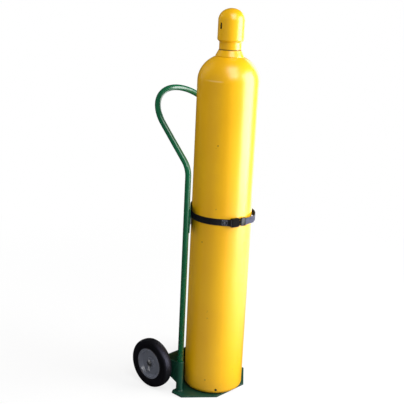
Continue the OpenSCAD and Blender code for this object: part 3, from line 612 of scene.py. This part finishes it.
# Steps out from the rim and up from the tyre's bead, along the groove round the rim
rim_groove = [(0, 0), (0.0015, 0.0008), (0.003, -0.0004), (0.005, 0.0012)]
flank_out = 0.01
ring_out = 0.0145
ring_w = 0.0022
ring_h = 0.0005
ring_slope = 0.0004
shoulder_r = 0.012
shoulder_start = 84
shoulder_sweep = 76
shoulder_steps = 12
crown = 0.0012
crown_fall = 0.3
fall_at = 0.7
flat_to = 0.25
bead_z = tyre_half - bead_drop
ring_r = rim_r + ring_out
ring_foot = tyre_half - ring_h
shoulder_mid = (wheel_r - shoulder_r - crown, tyre_half - shoulder_r)
side_line = [(rim_r + out, bead_z + rise) for out, rise in rim_groove]
side_line += [
    (rim_r + flank_out, ring_foot), (ring_r, ring_foot), (ring_r + ring_slope, tyre_half),
    (ring_r + ring_w, tyre_half), (ring_r + ring_w + ring_slope, ring_foot),
]
for i in range(shoulder_steps + 1):
    turn = math.radians(shoulder_start - shoulder_sweep * i / shoulder_steps)
    out, rise = shoulder_r * math.cos(turn), shoulder_r * math.sin(turn)
    side_line.append((shoulder_mid[0] + out, shoulder_mid[1] + rise))
tread_line = [
    (wheel_r - crown * crown_fall, shoulder_mid[1] * fall_at), (wheel_r, shoulder_mid[1] * flat_to)
]
half_line = side_line + tread_line
tyre_line = half_line + [(r, -z) for r, z in reversed(half_line)] + [half_line[0]]


def on_wheels(piece, names, material, slot, nodes):
    """Places a wheel piece drawn round Z on both wheels, with +Z to each wheel's outer side"""
    other = copy_of(piece, names[1])
    piece.name = names[0]
    for thing, side, node in ((piece, -1, nodes[0]), (other, 1, nodes[1])):
        outward = Matrix.Rotation(side * math.pi / 2, 4, "Y")
        put(thing, Matrix.Translation((side * wheel_mid.x, wheel_mid.y, wheel_mid.z)) @ outward)
        dress(thing, material, slot, ("left_wheel", "right_wheel")[side > 0], node)


moulded_edge = 0.0003
tyre = turned("left_tyre_rubber", tyre_line, sides=144)
soften(tyre, moulded_edge, segments=2, angle=35)
on_wheels(tyre, ("left_tyre_rubber", "right_tyre_rubber"), rubber, "tyre", ("left_tyre", "right_tyre"))


# Wheel discs. Two dished steel pressings on each wheel, welded to the rim band and to the hub tube, painted
# grey. Each rises to a boss round the hub, falls to a flat web and turns up into a rounded edge at the rim.
wheel_grey = enamel_finish(
    "wheel_grey", colour=(0.16, 0.172, 0.215, 1.0), shade=(0.1, 0.108, 0.135, 1.0),
    under=(0.12, 0.08, 0.05, 1.0), rough=0.3, wear=0.5, peel=500.0, relief=0.0003, coat=0.6, gloss=0.8,
)
hub_r = 0.015
band_r = 0.0605
rim_half = 0.0188
dish = 0.014
disc_t = 0.002
collar_z = 0.01
collar_w = 0.005
boss_w = 0.009
flare_w = 0.012
edge_w = 0.004
edge_sunk = 0.001
boss_r = hub_r + boss_w
web_z = rim_half - dish
edge_z = rim_half - edge_sunk
web_out = band_r - flare_w
edge_r = band_r - edge_w
disc_line = [
    (hub_r, collar_z), (hub_r + collar_w, collar_z), (boss_r, web_z), (web_out, web_z), (edge_r, edge_z),
    (band_r, edge_z), (band_r, edge_z - 2 * disc_t), (edge_r + disc_t, edge_z - 2 * disc_t),
    (web_out + disc_t / 2, web_z - disc_t), (boss_r - disc_t / 2, web_z - disc_t),
    (hub_r + disc_t, collar_z - disc_t), (hub_r + disc_t, web_z - disc_t), (hub_r, web_z - disc_t),
    (hub_r, collar_z),
]
press_round = 0.0016
outer_disc = turned("left_outer_disc_pressing", disc_line, sides=96)
soften(outer_disc, press_round, segments=4, angle=20)
inner_disc = copy_of(outer_disc, "left_inner_disc_pressing")
put(inner_disc, Matrix.Rotation(math.pi, 4, "X"))
for face, disc in (("outer", outer_disc), ("inner", inner_disc)):
    names = [f"{side}_{face}_disc_pressing" for side in ("left", "right")]
    on_wheels(disc, names, wheel_grey, "wheel_paint", [f"{side}_{face}_disc" for side in ("left", "right")])
for side in ("left", "right"):
    repaint((f"{side}_rim_band", f"{side}_hub_tube"), wheel_grey)
    repaint((f"{side}_bushes",), bright_steel)


# Gas cylinder. Steel drawn into a tall shell with a domed shoulder, a rounded foot and a hollow base, sprayed
# golden yellow. The paint is chipped in a few places and grimy near the foot. A pale line along the
# shoulder's crease is painted highlight, and a dark band at the joint under the cap is painted shade.
shell_low, shell_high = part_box("cylinder_shell")
cyl_r = shell_high.x
cyl_base = shell_low.z
straight_h = 1.24
shoulder_h = 0.103
base_round = 0.018
base_dish = 0.022
foot_flat = 0.008
neck_r = 0.03
bore_r = 0.014
bore_depth = 0.05
neck_top = shell_high.z
bore_floor = neck_top - bore_depth
foot_r = cyl_r - base_round
dish_r = foot_r - foot_flat
round_steps = 10
shoulder_steps = 40
drawn_edge = 0.001
shell_line = [(pole_r, cyl_base + base_dish)]
for i in range(1, round_steps + 1):
    share = i / round_steps
    shell_line.append((dish_r * share, cyl_base + base_dish * (1 - share * share)))
for i in range(round_steps + 1):
    turn = math.radians(90 * i / round_steps - 90)
    rise = cyl_base + base_round + base_round * math.sin(turn)
    shell_line.append((foot_r + base_round * math.cos(turn), rise))
neck_turn = math.acos(neck_r / cyl_r)
for i in range(shoulder_steps + 1):
    turn = neck_turn * i / shoulder_steps
    shell_line.append((cyl_r * math.cos(turn), cyl_base + straight_h + shoulder_h * math.sin(turn)))
shell_line += [(neck_r, neck_top), (bore_r, neck_top), (bore_r, bore_floor), (pole_r, bore_floor)]
shell = turned("cylinder_skin", shell_line, sides=128)
soften(shell, drawn_edge, segments=2, angle=40)

cylinder_yellow = enamel_finish(
    "cylinder_yellow", colour=(0.84, 0.46, 0.002, 1.0), shade=(0.72, 0.345, 0.001, 1.0),
    under=(0.03, 0.02, 0.012, 1.0), rough=0.34, wear=0.22, peel=260.0, relief=0.0003, coat=0.7,
    coat_rough=0.24, gloss=0.42,
)
tree = cylinder_yellow.node_tree
place = tree.nodes["Texture Coordinate"].outputs["Object"]
level = node_of(tree, "ShaderNodeSeparateXYZ", {0: place}).outputs["Z"]

# Mud that splashed up round the foot
mud_brown = (0.3, 0.15, 0.02, 1.0)
splash_h = 0.14
splash = noise(tree, place, scale=22.0, detail=6.0, rough=0.7)
splash = scaled(tree, splash, splash_h, level)
grime = mask(tree, splash, low=0.15, high=0.05, out=0.3)
dirt_and_painted_light = blend_colours(tree, grime, tree.nodes["skin"].outputs["Colour"], mud_brown)

# Painted highlight: a pale broken line along the crease where the wall meets the shoulder, in short stretches
crease_highlight_yellow = (0.9, 0.62, 0.2, 1.0)
crease_z = cyl_base + straight_h + 0.009
crease_across = (0.68, -0.73, 0.0)
crease_mid = 0.05
crease_break = 0.03
fleck = noise(tree, place, scale=60.0, detail=4.0)
from_line = maths(tree, "ABSOLUTE", maths(tree, "SUBTRACT", level, crease_z))
sideways = node_of(tree, "ShaderNodeVectorMath", {0: place, 1: crease_across}, operation="DOT_PRODUCT")
from_crease_strip = maths(tree, "ABSOLUTE", maths(tree, "ADD", sideways.outputs["Value"], crease_mid))
from_crease_strip = scaled(tree, fleck, crease_break, from_crease_strip)
patchy = mask(tree, from_crease_strip, low=0.05, high=0.03)
painted_crease_highlight = scaled(tree, mask(tree, from_line, low=0.004, high=0.001, out=0.5), patchy)
dirt_and_painted_light = blend_colours(tree, painted_crease_highlight, dirt_and_painted_light, crease_highlight_yellow)

# Painted shade in the joint under the cap: a dark brown band round the neck at the cap's rim
joint_shade_colour = (0.16, 0.07, 0.01, 1.0)
joint_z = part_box("valve_cap")[0].z - 0.0008
joint_break = 0.0012
from_joint = maths(tree, "ABSOLUTE", maths(tree, "SUBTRACT", level, joint_z))
from_joint = scaled(tree, fleck, joint_break, from_joint)
painted_joint_shade = mask(tree, from_joint, low=0.0034, high=0.0016, out=0.75)
dirt_and_painted_light = blend_colours(tree, painted_joint_shade, dirt_and_painted_light, joint_shade_colour)

# Chips down to the dark steel: direction in degrees, height and radius of each
steel_brown = (0.02, 0.014, 0.01, 1.0)
chips = [
    (-151.4, 1.0195, 0.0022), (-174.3, 0.6378, 0.0022), (-153.4, 0.0666, 0.0022), (-131.7, 0.0269, 0.0048)
]
ragged_w = 0.002
fade_out = 0.0014
fade_in = 0.0009
ragged = scaled(tree, noise(tree, place, scale=420.0, detail=2.0), ragged_w)
bare = 0.0
for degrees, height, size in chips:
    turn = math.radians(degrees)
    spot = (cyl_r * math.cos(turn), cyl_r * math.sin(turn), height)
    away = node_of(tree, "ShaderNodeVectorMath", {0: place, 1: spot}, operation="DISTANCE").outputs["Value"]
    away = maths(tree, "ADD", away, ragged)
    bare = maths(tree, "MAXIMUM", mask(tree, away, low=size + fade_out, high=size + fade_in), bare)
marked = blend_colours(tree, bare, dirt_and_painted_light, steel_brown)
tree.links.new(marked, tree.nodes["Principled BSDF"].inputs["Base Color"])
dress(shell, cylinder_yellow, "cylinder_paint", "gas_cylinder", "cylinder_shell")


# Neck ring. A turned ring shrunk on the neck: a cone that follows the shoulder underneath, and a threaded
# spigot above it that the cap screws on. Painted with the cylinder.
ring_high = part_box("neck_ring")[1]
ring_r = ring_high.x
ring_top_r = 0.043
spigot_r = 0.036
spigot_h = 0.022
ring_gap = 0.00005
ring_bore = neck_r + ring_gap
ring_mid = 0.8 * ring_r
ring_lip = 0.003
turned_edge = 0.0012


def shoulder_z(radius):
    """Height of the shoulder's outside at a radius"""
    return cyl_base + straight_h + shoulder_h * math.sqrt(1 - (radius / cyl_r) ** 2)


ring_line = [
    (ring_bore, shoulder_z(ring_bore)), (ring_mid, shoulder_z(ring_mid)), (ring_r, shoulder_z(ring_r)),
    (ring_r, shoulder_z(ring_r) + ring_lip), (ring_top_r, ring_high.z - spigot_h),
    (spigot_r, ring_high.z - spigot_h), (spigot_r, ring_high.z), (ring_bore, ring_high.z),
    (ring_bore, shoulder_z(ring_bore)),
]
neck_ring = turned("neck_ring_skin", ring_line, sides=96)
soften(neck_ring, turned_edge, segments=3, angle=25)
dress(neck_ring, cylinder_yellow, "cylinder_paint", "gas_cylinder", "neck_ring")


# Valve. A forged brass body screwed into the neck, with an outlet and its dust nut at the front, a relief
# plug at the rear and a packing nut on top. The cap hides it all until it is taken off.
valve_brass = metal_finish(
    "valve_brass", colour=(0.72, 0.50, 0.20, 1.0), tarnish=(0.32, 0.20, 0.08, 1.0), amount=0.7
)
forged_edge = 0.0005
for node in ("valve_body", "safety_plug", "outlet_cap", "packing_nut"):
    piece = softened_copy(node, node + "_forging", forged_edge, segments=2)
    dress(piece, valve_brass, "valve_brass", "gas_cylinder", node)


# Handwheel. A small cast iron wheel with four spokes, held on the steel stem by a nut. Enamelled black, and
# worn through on its rim by hands.
handwheel_black = enamel_finish(
    "handwheel_black", colour=(0.02, 0.02, 0.022, 1.0), shade=(0.012, 0.012, 0.013, 1.0),
    under=(0.16, 0.12, 0.09, 1.0), rough=0.38, wear=0.8, peel=350.0, relief=0.0008, coat=0.1,
)
cast_edge = 0.0007
nut_edge = 0.0003
casting = softened_copy("valve_handwheel", "handwheel_casting", cast_edge, segments=2)
dress(casting, handwheel_black, "handwheel_iron", "handwheel", "valve_handwheel")
stem_nut = softened_copy("handwheel_nut", "handwheel_nut_turning", nut_edge, segments=2)
dress(stem_nut, bright_steel, "bare_steel", "handwheel", "handwheel_nut")
repaint(("valve_stem",), bright_steel)


# Valve cap. A pressed steel bell that screws on the neck ring over the valve: a threaded collar, a taper, a
# straight barrel with a vent slot on two sides, and a dome. Painted with the cylinder outside; its inside and
# the vent slots' walls are dark, as painted shade.
cap_low, cap_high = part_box("valve_cap")
cap_r = cap_high.x
cap_wall = 0.0035
collar_r = 0.042
collar_h = 0.027
taper_h = 0.008
barrel_h = 0.071
dome_h = 0.044
thread_r = 0.0364
vent_w = 0.009
vent_h = 0.024
vent_turn = math.radians(172)
vent_drop = 0.008
dome_steps = 24
pressed_edge = 0.0011
inner_r = cap_r - cap_wall
taper_z = cap_low.z + collar_h
barrel_z = taper_z + taper_h
dome_z = barrel_z + barrel_h
vent_z = dome_z - vent_drop - vent_h / 2


def dome_line(radius, rise):
    """(radius, height) points up the side of a dome, from its foot to its pole"""
    turns = [math.radians(90 * i / dome_steps) for i in range(dome_steps + 1)]
    return [(max(pole_r, radius * math.cos(turn)), dome_z + rise * math.sin(turn)) for turn in turns]


cap_line = [(thread_r, cap_low.z), (collar_r, cap_low.z), (collar_r, taper_z), (cap_r, barrel_z)]
cap_line += dome_line(cap_r, dome_h)
cap_line += reversed(dome_line(inner_r, dome_h - cap_wall))
cap_line += [(inner_r, barrel_z + cap_wall), (thread_r, taper_z), (thread_r, cap_low.z)]
cap = turned("valve_cap_bell", cap_line, sides=128)
punch_len = 3 * cap_r
clear_selection()
bpy.ops.mesh.primitive_cube_add(
    size=1, location=(0, 0, vent_z), rotation=(0, 0, vent_turn), scale=(punch_len, vent_w, vent_h)
)
punch = take_piece("vent_punch")
open_mesh()
across = Vector((-math.sin(vent_turn), math.cos(vent_turn), 0))
vent_round = 0.49 * vent_w
edge_y = 0.4 * vent_w
edge_z = 0.4 * vent_h
pick(punch, "EDGE", lambda m: abs(m.dot(across)) > edge_y and abs(m.z - vent_z) > edge_z)
bpy.ops.mesh.bevel(offset=vent_round, segments=6)
close_mesh()
vents = cap.modifiers.new("vents", "BOOLEAN")
vents.operation = "DIFFERENCE"
vents.solver = "EXACT"
vents.object = punch
apply_all(cap)
bpy.data.objects.remove(punch)
soften(cap, pressed_edge, segments=3, angle=28)
dress(cap, cylinder_yellow, "cylinder_paint", "cap", "valve_cap")
# Dark steel inside the bell and on the vent slots' walls, darker than bare steel: painted shade for the
# inside
cap.data.materials.append(metal_finish(
    "cap_inside_shade", colour=(0.06, 0.05, 0.045, 1.0), tarnish=(0.03, 0.02, 0.015, 1.0), amount=0.8
))
inner_face = cap_r - 0.9 * cap_wall
slot_lip = cap_r - 0.0012
slot_half = 0.6 * vent_w
slot_rise = 0.55 * vent_h
for face in cap.data.polygons:
    middle = face.center
    from_axis = math.hypot(middle.x, middle.y)
    inside_dome = middle.z > dome_z and face.normal.dot(middle - Vector((0, 0, dome_z))) < 0
    inside_wall = middle.z < dome_z and from_axis < inner_face
    inside_wall = inside_wall and face.normal.x * middle.x + face.normal.y * middle.y < 0
    slot_side = abs(middle.dot(across)) < slot_half and abs(middle.z - vent_z) < slot_rise
    slot_side = slot_side and inner_r < from_axis < slot_lip
    face.material_index = 1 if inside_dome or inside_wall or slot_side else 0


# Strap. Black woven webbing, sewn back on itself round the socket half of the buckle. It lies on the
# cylinder at the left, passes through the saddle's slots behind, stands off slack at the right, where its
# colour is lightened to a bluish grey as a painted sheen, and ends in a free tail.
strap_low, strap_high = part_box("strap")
strap_w = strap_high.z - strap_low.z
strap_t = 0.0015
rest_gap = 0.0004
slack = 0.013
saddle_r = cyl_r + 0.003
saddle_t = 0.003
slot_angle = 28
slot_pass = 3.5
buckle_angle = -106.5
buckle_mid = 0.0055
bar_y = 0.032
bar_turn_r = 0.00275
layer_gap = 0.0001
layer_step = strap_t + layer_gap
sewn_len = 0.036
sewn_open = 0.013
tail_sweep = 24
full_turn = 360
strap_r = cyl_r + rest_gap + strap_t / 2
slack_r = cyl_r + slack + strap_t / 2
back_r = saddle_r + saddle_t + rest_gap + strap_t / 2


def polar(radius, degrees):
    """Point in plan at a radius and a direction"""
    return Vector((radius * math.cos(math.radians(degrees)), radius * math.sin(math.radians(degrees))))


def direction(point):
    """Direction of a point in plan, in degrees"""
    return math.degrees(math.atan2(point.y, point.x))


def arc(middle, radius, start, sweep, steps):
    """Points along an arc in plan"""
    return [middle + polar(radius, start + sweep * i / steps) for i in range(steps + 1)]


buckle_turn = Matrix.Rotation(math.radians(buckle_angle), 2)
socket_bar = buckle_turn @ Vector((cyl_r + buckle_mid, -bar_y))
clip_bar = buckle_turn @ Vector((cyl_r + buckle_mid, bar_y))
taut_dir = direction(socket_bar) - math.degrees(math.acos((strap_r + bar_turn_r) / socket_bar.length))
taut_out = polar(1, taut_dir)
taut_along = polar(1, taut_dir - 90)
taut_start = socket_bar - bar_turn_r * taut_out
clip_dir = direction(clip_bar)
left_slot = 90 + slot_angle - full_turn
right_slot = 90 - slot_angle - full_turn
slot_lead = 6
slot_lift = 0.0001
right_lift = 0.0004
rear_lift = 0.0006
rear_dir = 40
side_dir = -12
side_rise = 0.003
front_dir = -40
clip_lead = 22
ease_steps = 6
rear_r = strap_r + rear_lift
side_r = slack_r + side_rise
side_ease = []
for i in range(1, ease_steps):
    share = (1 - math.cos(math.pi * i / ease_steps)) / 2
    ease_r = side_r * (1 - share) + rear_r * share
    side_ease.append((side_dir + (rear_dir - side_dir) * i / ease_steps - full_turn, ease_r))
# Directions in degrees and radii of the webbing's middle line, from the socket half round to the clip half
stations = [
    (taut_dir, strap_r), (left_slot + slot_pass + slot_lead, strap_r),
    (left_slot + slot_pass, strap_r + slot_lift), (left_slot - slot_pass, back_r),
    (right_slot + slot_pass, back_r), (right_slot - slot_pass, strap_r + right_lift),
    (rear_dir - full_turn, rear_r), *reversed(side_ease), (side_dir - full_turn, side_r),
    (front_dir - full_turn, slack_r), (clip_dir + clip_lead - full_turn, slack_r),
    (clip_dir - full_turn, clip_bar.length - bar_turn_r),
]


def radius_at(degrees):
    """Radius of the webbing's middle line in a direction, between two stations"""
    for (start, first), (end, second) in zip(stations, stations[1:]):
        if end <= degrees <= start:
            return first + (second - first) * (start - degrees) / (start - end)
    return stations[-1][1]


step_degrees = 2
bar_lap = 20
clip_lap = 190
bar_sweep = 200
bar_steps = 14
tail_start = 9
tail_step = 3
tail_lift = 3 * layer_gap + layer_step
route = [taut_start + sewn_len * taut_along + layer_step * taut_out]
route.append(taut_start + sewn_open * taut_along + layer_step * taut_out)
route += arc(socket_bar, bar_turn_r, start=taut_dir - bar_lap, sweep=bar_sweep, steps=bar_steps)
for (start, first), (end, second) in zip(stations, stations[1:]):
    steps = max(1, round((start - end) / step_degrees))
    route += [polar(radius_at(start + (end - start) * i / steps), start + (end - start) * i / steps)
              for i in range(steps)]
route += arc(clip_bar, bar_turn_r, start=clip_dir - clip_lap, sweep=bar_sweep, steps=bar_steps)
for degrees in range(tail_start, tail_sweep + 1, tail_step):
    route.append(polar(radius_at(clip_dir - full_turn + degrees) + tail_lift, clip_dir + degrees))

clear_selection()
bpy.ops.mesh.primitive_plane_add(
    size=strap_w, location=(route[0].x + strap_w / 2, route[0].y, (strap_low.z + strap_high.z) / 2),
    rotation=(math.pi / 2, 0, 0),
)
strap = take_piece("strap_webbing")
open_mesh()
pick(strap, "VERT", lambda m: m.x > route[0].x + strap_w / 2)
bpy.ops.mesh.delete(type="VERT")
bpy.ops.mesh.select_all(action="SELECT")
for here, ahead_point in zip(route, route[1:]):
    stride = ahead_point - here
    pull((stride.x, stride.y, 0))
close_mesh()
lengths = [0.0]
for here, ahead_point in zip(route, route[1:]):
    lengths.append(lengths[-1] + (ahead_point - here).length)
weave_map = strap.data.uv_layers.new(name="weave")
for loop in strap.data.loops:
    corner = strap.data.vertices[loop.vertex_index].co
    weave_map.data[loop.index].uv = (lengths[loop.vertex_index // 2], corner.z - strap_low.z)
woven_edge = 0.0003
thick = strap.modifiers.new("thickness", "SOLIDIFY")
thick.thickness = strap_t
thick.offset = 0
thick.use_even_offset = True
apply_all(strap)
soften(strap, woven_edge, segments=2, angle=50)

webbing, tree, shader, place = new_material("black_webbing")
weave = node_of(tree, "ShaderNodeUVMap", uv_map="weave").outputs["UV"]
split = node_of(tree, "ShaderNodeSeparateXYZ", {0: weave}).outputs
half_width = strap_w / 2
from_middle = maths(tree, "ABSOLUTE", maths(tree, "SUBTRACT", split["Y"], half_width))
rib_pitch = 0.0016
yarn_pitch = 0.0011
chevron_slant = 0.8
rib_height = 0.5
yarn_height = 0.5
sheen_start = lengths[-1] - 0.17
sheen_end = lengths[-1] - 0.1
fuzz_rough = 0.2
yarn_rough = 0.55
web_black = (0.003, 0.003, 0.004, 1.0)
web_worn = (0.014, 0.014, 0.02, 1.0)
web_sheen_blue = (0.16, 0.17, 0.27, 1.0)
chevron = maths(tree, "ADD", split["X"], scaled(tree, from_middle, chevron_slant))
ribs = maths(tree, "SINE", scaled(tree, chevron, 2 * math.pi / rib_pitch))
yarns = maths(tree, "SINE", scaled(tree, split["Y"], 2 * math.pi / yarn_pitch))
ribs = scaled(tree, ribs, rib_height)
cloth_height = scaled(tree, yarns, yarn_height, ribs)
fuzz = noise(tree, place, scale=700.0, detail=4.0)
lift = mask(tree, cloth_height, low=-0.9, high=0.9)
web_colour = blend_colours(tree, scaled(tree, lift, fuzz), web_black, web_worn)
# Painted sheen: towards its free end the webbing is lightened to a bluish grey
painted_sheen = mask(tree, split["X"], low=sheen_start, high=sheen_end, out=0.7)
web_colour = blend_colours(tree, scaled(tree, painted_sheen, fuzz), web_colour, web_sheen_blue)
web_rough = scaled(tree, fuzz, fuzz_rough, yarn_rough)
set_surface(tree, shader, web_colour, web_rough, cloth_height, distance=0.0002)
sheen = {"Sheen Weight": 0.1, "Sheen Tint": (0.55, 0.6, 0.95, 1.0), "Sheen Roughness": 0.4}
set_values(shader, {"Specular IOR Level": 0.25, **sheen})
dress(strap, webbing, "webbing", "trolley_frame", "strap")


# Stitching. The webbing's end is sewn down behind the socket half, with a box of grey thread, a cross in it
# and a row across its middle. The thread is twisted, and its stitches are pulled a little into the webbing.
thread, tree, shader, place = new_material("grey_thread")
thread_dark = (0.22, 0.23, 0.3, 1.0)
thread_light = (0.42, 0.43, 0.52, 1.0)
thread_rough = 0.3
twist = noise(tree, place, scale=2500.0, detail=2.0)
thread_colour = blend_colours(tree, twist, thread_dark, thread_light)
set_surface(tree, shader, thread_colour, maths(tree, "ADD", twist, thread_rough), twist, distance=0.0002)
stitch_len = 0.0026
stitch_gap = 0.0007
stitch_t = 0.0007
stitch_depth = 0.001
seam_in = 0.002
selvage = 0.003
box_near = sewn_open + seam_in
box_far = sewn_len - seam_in
box_half = strap_w / 2 - selvage
box_mid = (box_near + box_far) / 2
strap_mid_z = (strap_low.z + strap_high.z) / 2
corners = [Vector((box_near, -box_half)), Vector((box_near, box_half)), Vector((box_far, box_half)),
           Vector((box_far, -box_half))]
seams = [(corners[i], corners[(i + 1) % 4]) for i in range(4)]
seams += [(corners[0], corners[2]), (corners[1], corners[3])]
seams += [(Vector((box_mid, -box_half)), Vector((box_mid, box_half)))]
clear_selection()
bpy.ops.mesh.primitive_uv_sphere_add(
    segments=8, ring_count=6, radius=0.5, scale=(stitch_len, stitch_t, stitch_depth)
)
stitch = take_piece("stitch")
bpy.ops.object.shade_smooth()
face_level = layer_step + strap_t / 2
stitches = []
for start, end in seams:
    run = end - start
    count = int(run.length / (stitch_len + stitch_gap))
    tilt = math.atan2(run.y, run.x)
    for i in range(count):
        at = start + run * ((i + 0.5) / count)
        spot = taut_start + at.x * taut_along + face_level * taut_out
        copy = copy_of(stitch, f"stitch_{len(stitches)}")
        sewn_plane = Matrix((
            (taut_along.x, taut_out.x, 0), (taut_along.y, taut_out.y, 0), (0, 0, 1)
        )).to_4x4()
        put(copy, Matrix.Translation((spot.x, spot.y, strap_mid_z + at.y)) @ sewn_plane
            @ Matrix.Rotation(-tilt, 4, "Y"))
        stitches.append(copy)
bpy.data.objects.remove(stitch)
sewing = join_pieces(stitches, "strap_stitching")
dress(sewing, thread, "webbing", "trolley_frame")


# Buckle. A side release buckle moulded in black plastic: a flat socket with a window in each edge, a clip
# with a bar for the webbing, and two springy arms whose barbs sit in the windows.
plastic, tree, shader, place = new_material("buckle_plastic")
spark = noise(tree, place, scale=1800.0, detail=2.0)
worn = mask(tree, tree.nodes.new("ShaderNodeNewGeometry").outputs["Pointiness"], low=0.6, high=0.7)
plastic_black = (0.003, 0.003, 0.0035, 1.0)
plastic_worn = (0.02, 0.02, 0.023, 1.0)
spark_rough = 0.08
plastic_rough = 0.12
plastic_colour = blend_colours(tree, worn, plastic_black, plastic_worn)
moulded_rough = scaled(tree, spark, spark_rough, plastic_rough)
set_surface(tree, shader, plastic_colour, moulded_rough, spark, distance=0.00004)
set_values(shader, {"Specular IOR Level": 0.05, "Coat Roughness": 0.08})
tree.links.new(worn, shader.inputs["Coat Weight"])
body_edge = 0.0022
arm_edge = 0.0008
mouldings = [
    ("buckle_socket", "trolley_frame", body_edge), ("buckle_clip", "trolley_frame", body_edge),
    ("upper_clip_arm", "upper_arm", arm_edge), ("lower_clip_arm", "lower_arm", arm_edge),
]
for node, body, edge in mouldings:
    piece = softened_copy(node, node + "_moulding", edge, segments=4)
    dress(piece, plastic, "buckle_plastic", body, node)


# Studio. A pale floor that runs out to white, a tall soft light to the front right that draws the long bright
# streak down the paint, a smaller one to the right, one high at the front for the wheels, fill lights to the
# left and the rear that gloss doesn't mirror, and even light from all round.
floor_half = 8.0
floor_drop = 0.0003
shadow_start = 0.2
shadow_half = 2.6
shadow_white = 0.78
mirror_from = (0.7, -0.7, 0.0)
# Shares of the floor's light that gloss and the other surfaces don't get back from it
mirror_dark = 0.97
bounce_loss = 0.36
clear_selection()
bpy.ops.mesh.primitive_plane_add(size=2 * floor_half, location=(0, 0, -floor_drop))
floor = take_piece("studio_floor")
pale, tree, shader, place = new_material("pale_floor")
set_values(shader, {"Base Color": (0.86, 0.86, 0.86, 1.0), "Roughness": 0.7})
path = tree.nodes.new("ShaderNodeLightPath").outputs
seen = maths(tree, "MAXIMUM", path["Is Camera Ray"], path["Is Transmission Ray"])
far = node_of(tree, "ShaderNodeVectorMath", {0: place}, operation="LENGTH").outputs["Value"]
fade_range = {"From Min": shadow_start, "From Max": shadow_half, "To Min": shadow_white, "To Max": 1.0}
fade = node_of(
    tree, "ShaderNodeMapRange", {"Value": far, **fade_range}, interpolation_type="SMOOTHERSTEP"
).outputs["Result"]
white = node_of(tree, "ShaderNodeEmission", {"Color": (1.0, 1.0, 1.0, 1.0), "Strength": 1.0}).outputs[0]
shown = node_of(
    tree, "ShaderNodeMixShader", {0: scaled(tree, seen, fade), 1: shader.outputs[0], 2: white}
)
dark = node_of(tree, "ShaderNodeEmission", {"Color": (0.0, 0.0, 0.0, 1.0), "Strength": 0.0}).outputs[0]
front_right = node_of(tree, "ShaderNodeVectorMath", {0: place, 1: mirror_from}, operation="DOT_PRODUCT")
unlit = mask(tree, front_right.outputs["Value"], low=1.3, high=0.3, out=mirror_dark)
dimmed = scaled(tree, path["Is Glossy Ray"], unlit)
dimmed = maths(tree, "MAXIMUM", dimmed, scaled(tree, path["Is Diffuse Ray"], bounce_loss))
mirrored = node_of(tree, "ShaderNodeMixShader", {0: dimmed, 1: shown.outputs[0], 2: dark})
tree.links.new(mirrored.outputs[0], tree.nodes["Material Output"].inputs["Surface"])
floor.data.materials.append(pale)

world = bpy.data.worlds.new("studio")
world.use_nodes = True
bpy.context.scene.world = world
tree = world.node_tree
path = tree.nodes.new("ShaderNodeLightPath").outputs
seen = maths(tree, "MAXIMUM", path["Is Camera Ray"], path["Is Transmission Ray"])
ambient = 0.19
mirror_loss = 0.8 * ambient
glow = scaled(tree, seen, 1.0 - ambient, ambient)
glow = maths(tree, "SUBTRACT", glow, scaled(tree, path["Is Glossy Ray"], mirror_loss))
tree.nodes["Background"].inputs["Color"].default_value = (1.0, 1.0, 1.0, 1.0)
tree.links.new(glow, tree.nodes["Background"].inputs["Strength"])


def soft_light(name, at, towards, width, height, watts, mirrored=True):
    """A flat soft light of one size that faces a point, and that gloss mirrors or not"""
    light = bpy.data.lights.new(name, "AREA")
    light.shape = "RECTANGLE"
    light.size = width
    light.size_y = height
    light.energy = watts
    lamp = bpy.data.objects.new(name, light)
    lamp.location = at
    lamp.visible_glossy = mirrored
    lamp.rotation_euler = (Vector(towards) - Vector(at)).to_track_quat("-Z", "Y").to_euler()
    bpy.context.scene.collection.objects.link(lamp)


soft_light("key_light", at=(1.42, -2.06, 1.4), towards=(0, 0, 0.8), width=2.1, height=2.8, watts=160.0)
soft_light("right_light", at=(2.5, 0.5, 1.2), towards=(0, 0, 0.8), width=1.2, height=2.4, watts=22.0)
soft_light("front_light", at=(-0.9, -1.8, 3.3), towards=(0, 0, 0.5), width=1.6, height=2.8, watts=66.0)
soft_light(
    "left_light", at=(-2.6, 0.3, 1.4), towards=(0, 0, 0.7), width=2.4, height=2.4, watts=8.0, mirrored=False
)
soft_light(
    "rear_light", at=(-0.6, 2.8, 2.2), towards=(0, 0, 0.8), width=1.6, height=2.4, watts=42.0, mirrored=False
)


# Camera. It stands to the left of the front, at a standing person's eye height, and is tipped a little.
eye = Vector((-2.3996, -2.1166, 1.6484))
ahead = Vector((0.7074, 0.6554, -0.2645)).normalized()
roll = math.radians(2.7)
lens_mm = 75.77
level_right = ahead.cross(Vector((0, 0, 1))).normalized()
level_up = level_right.cross(ahead)
right = level_right * math.cos(roll) + level_up * math.sin(roll)
up = level_up * math.cos(roll) - level_right * math.sin(roll)
camera = bpy.data.objects.new("camera", bpy.data.cameras.new("camera"))
bpy.context.scene.collection.objects.link(camera)
camera.data.lens = lens_mm
camera.matrix_world = Matrix.Translation(eye) @ Matrix((right, up, -ahead)).transposed().to_4x4()
bpy.context.scene.camera = camera


bpy.context.scene.view_settings.view_transform = "Standard"
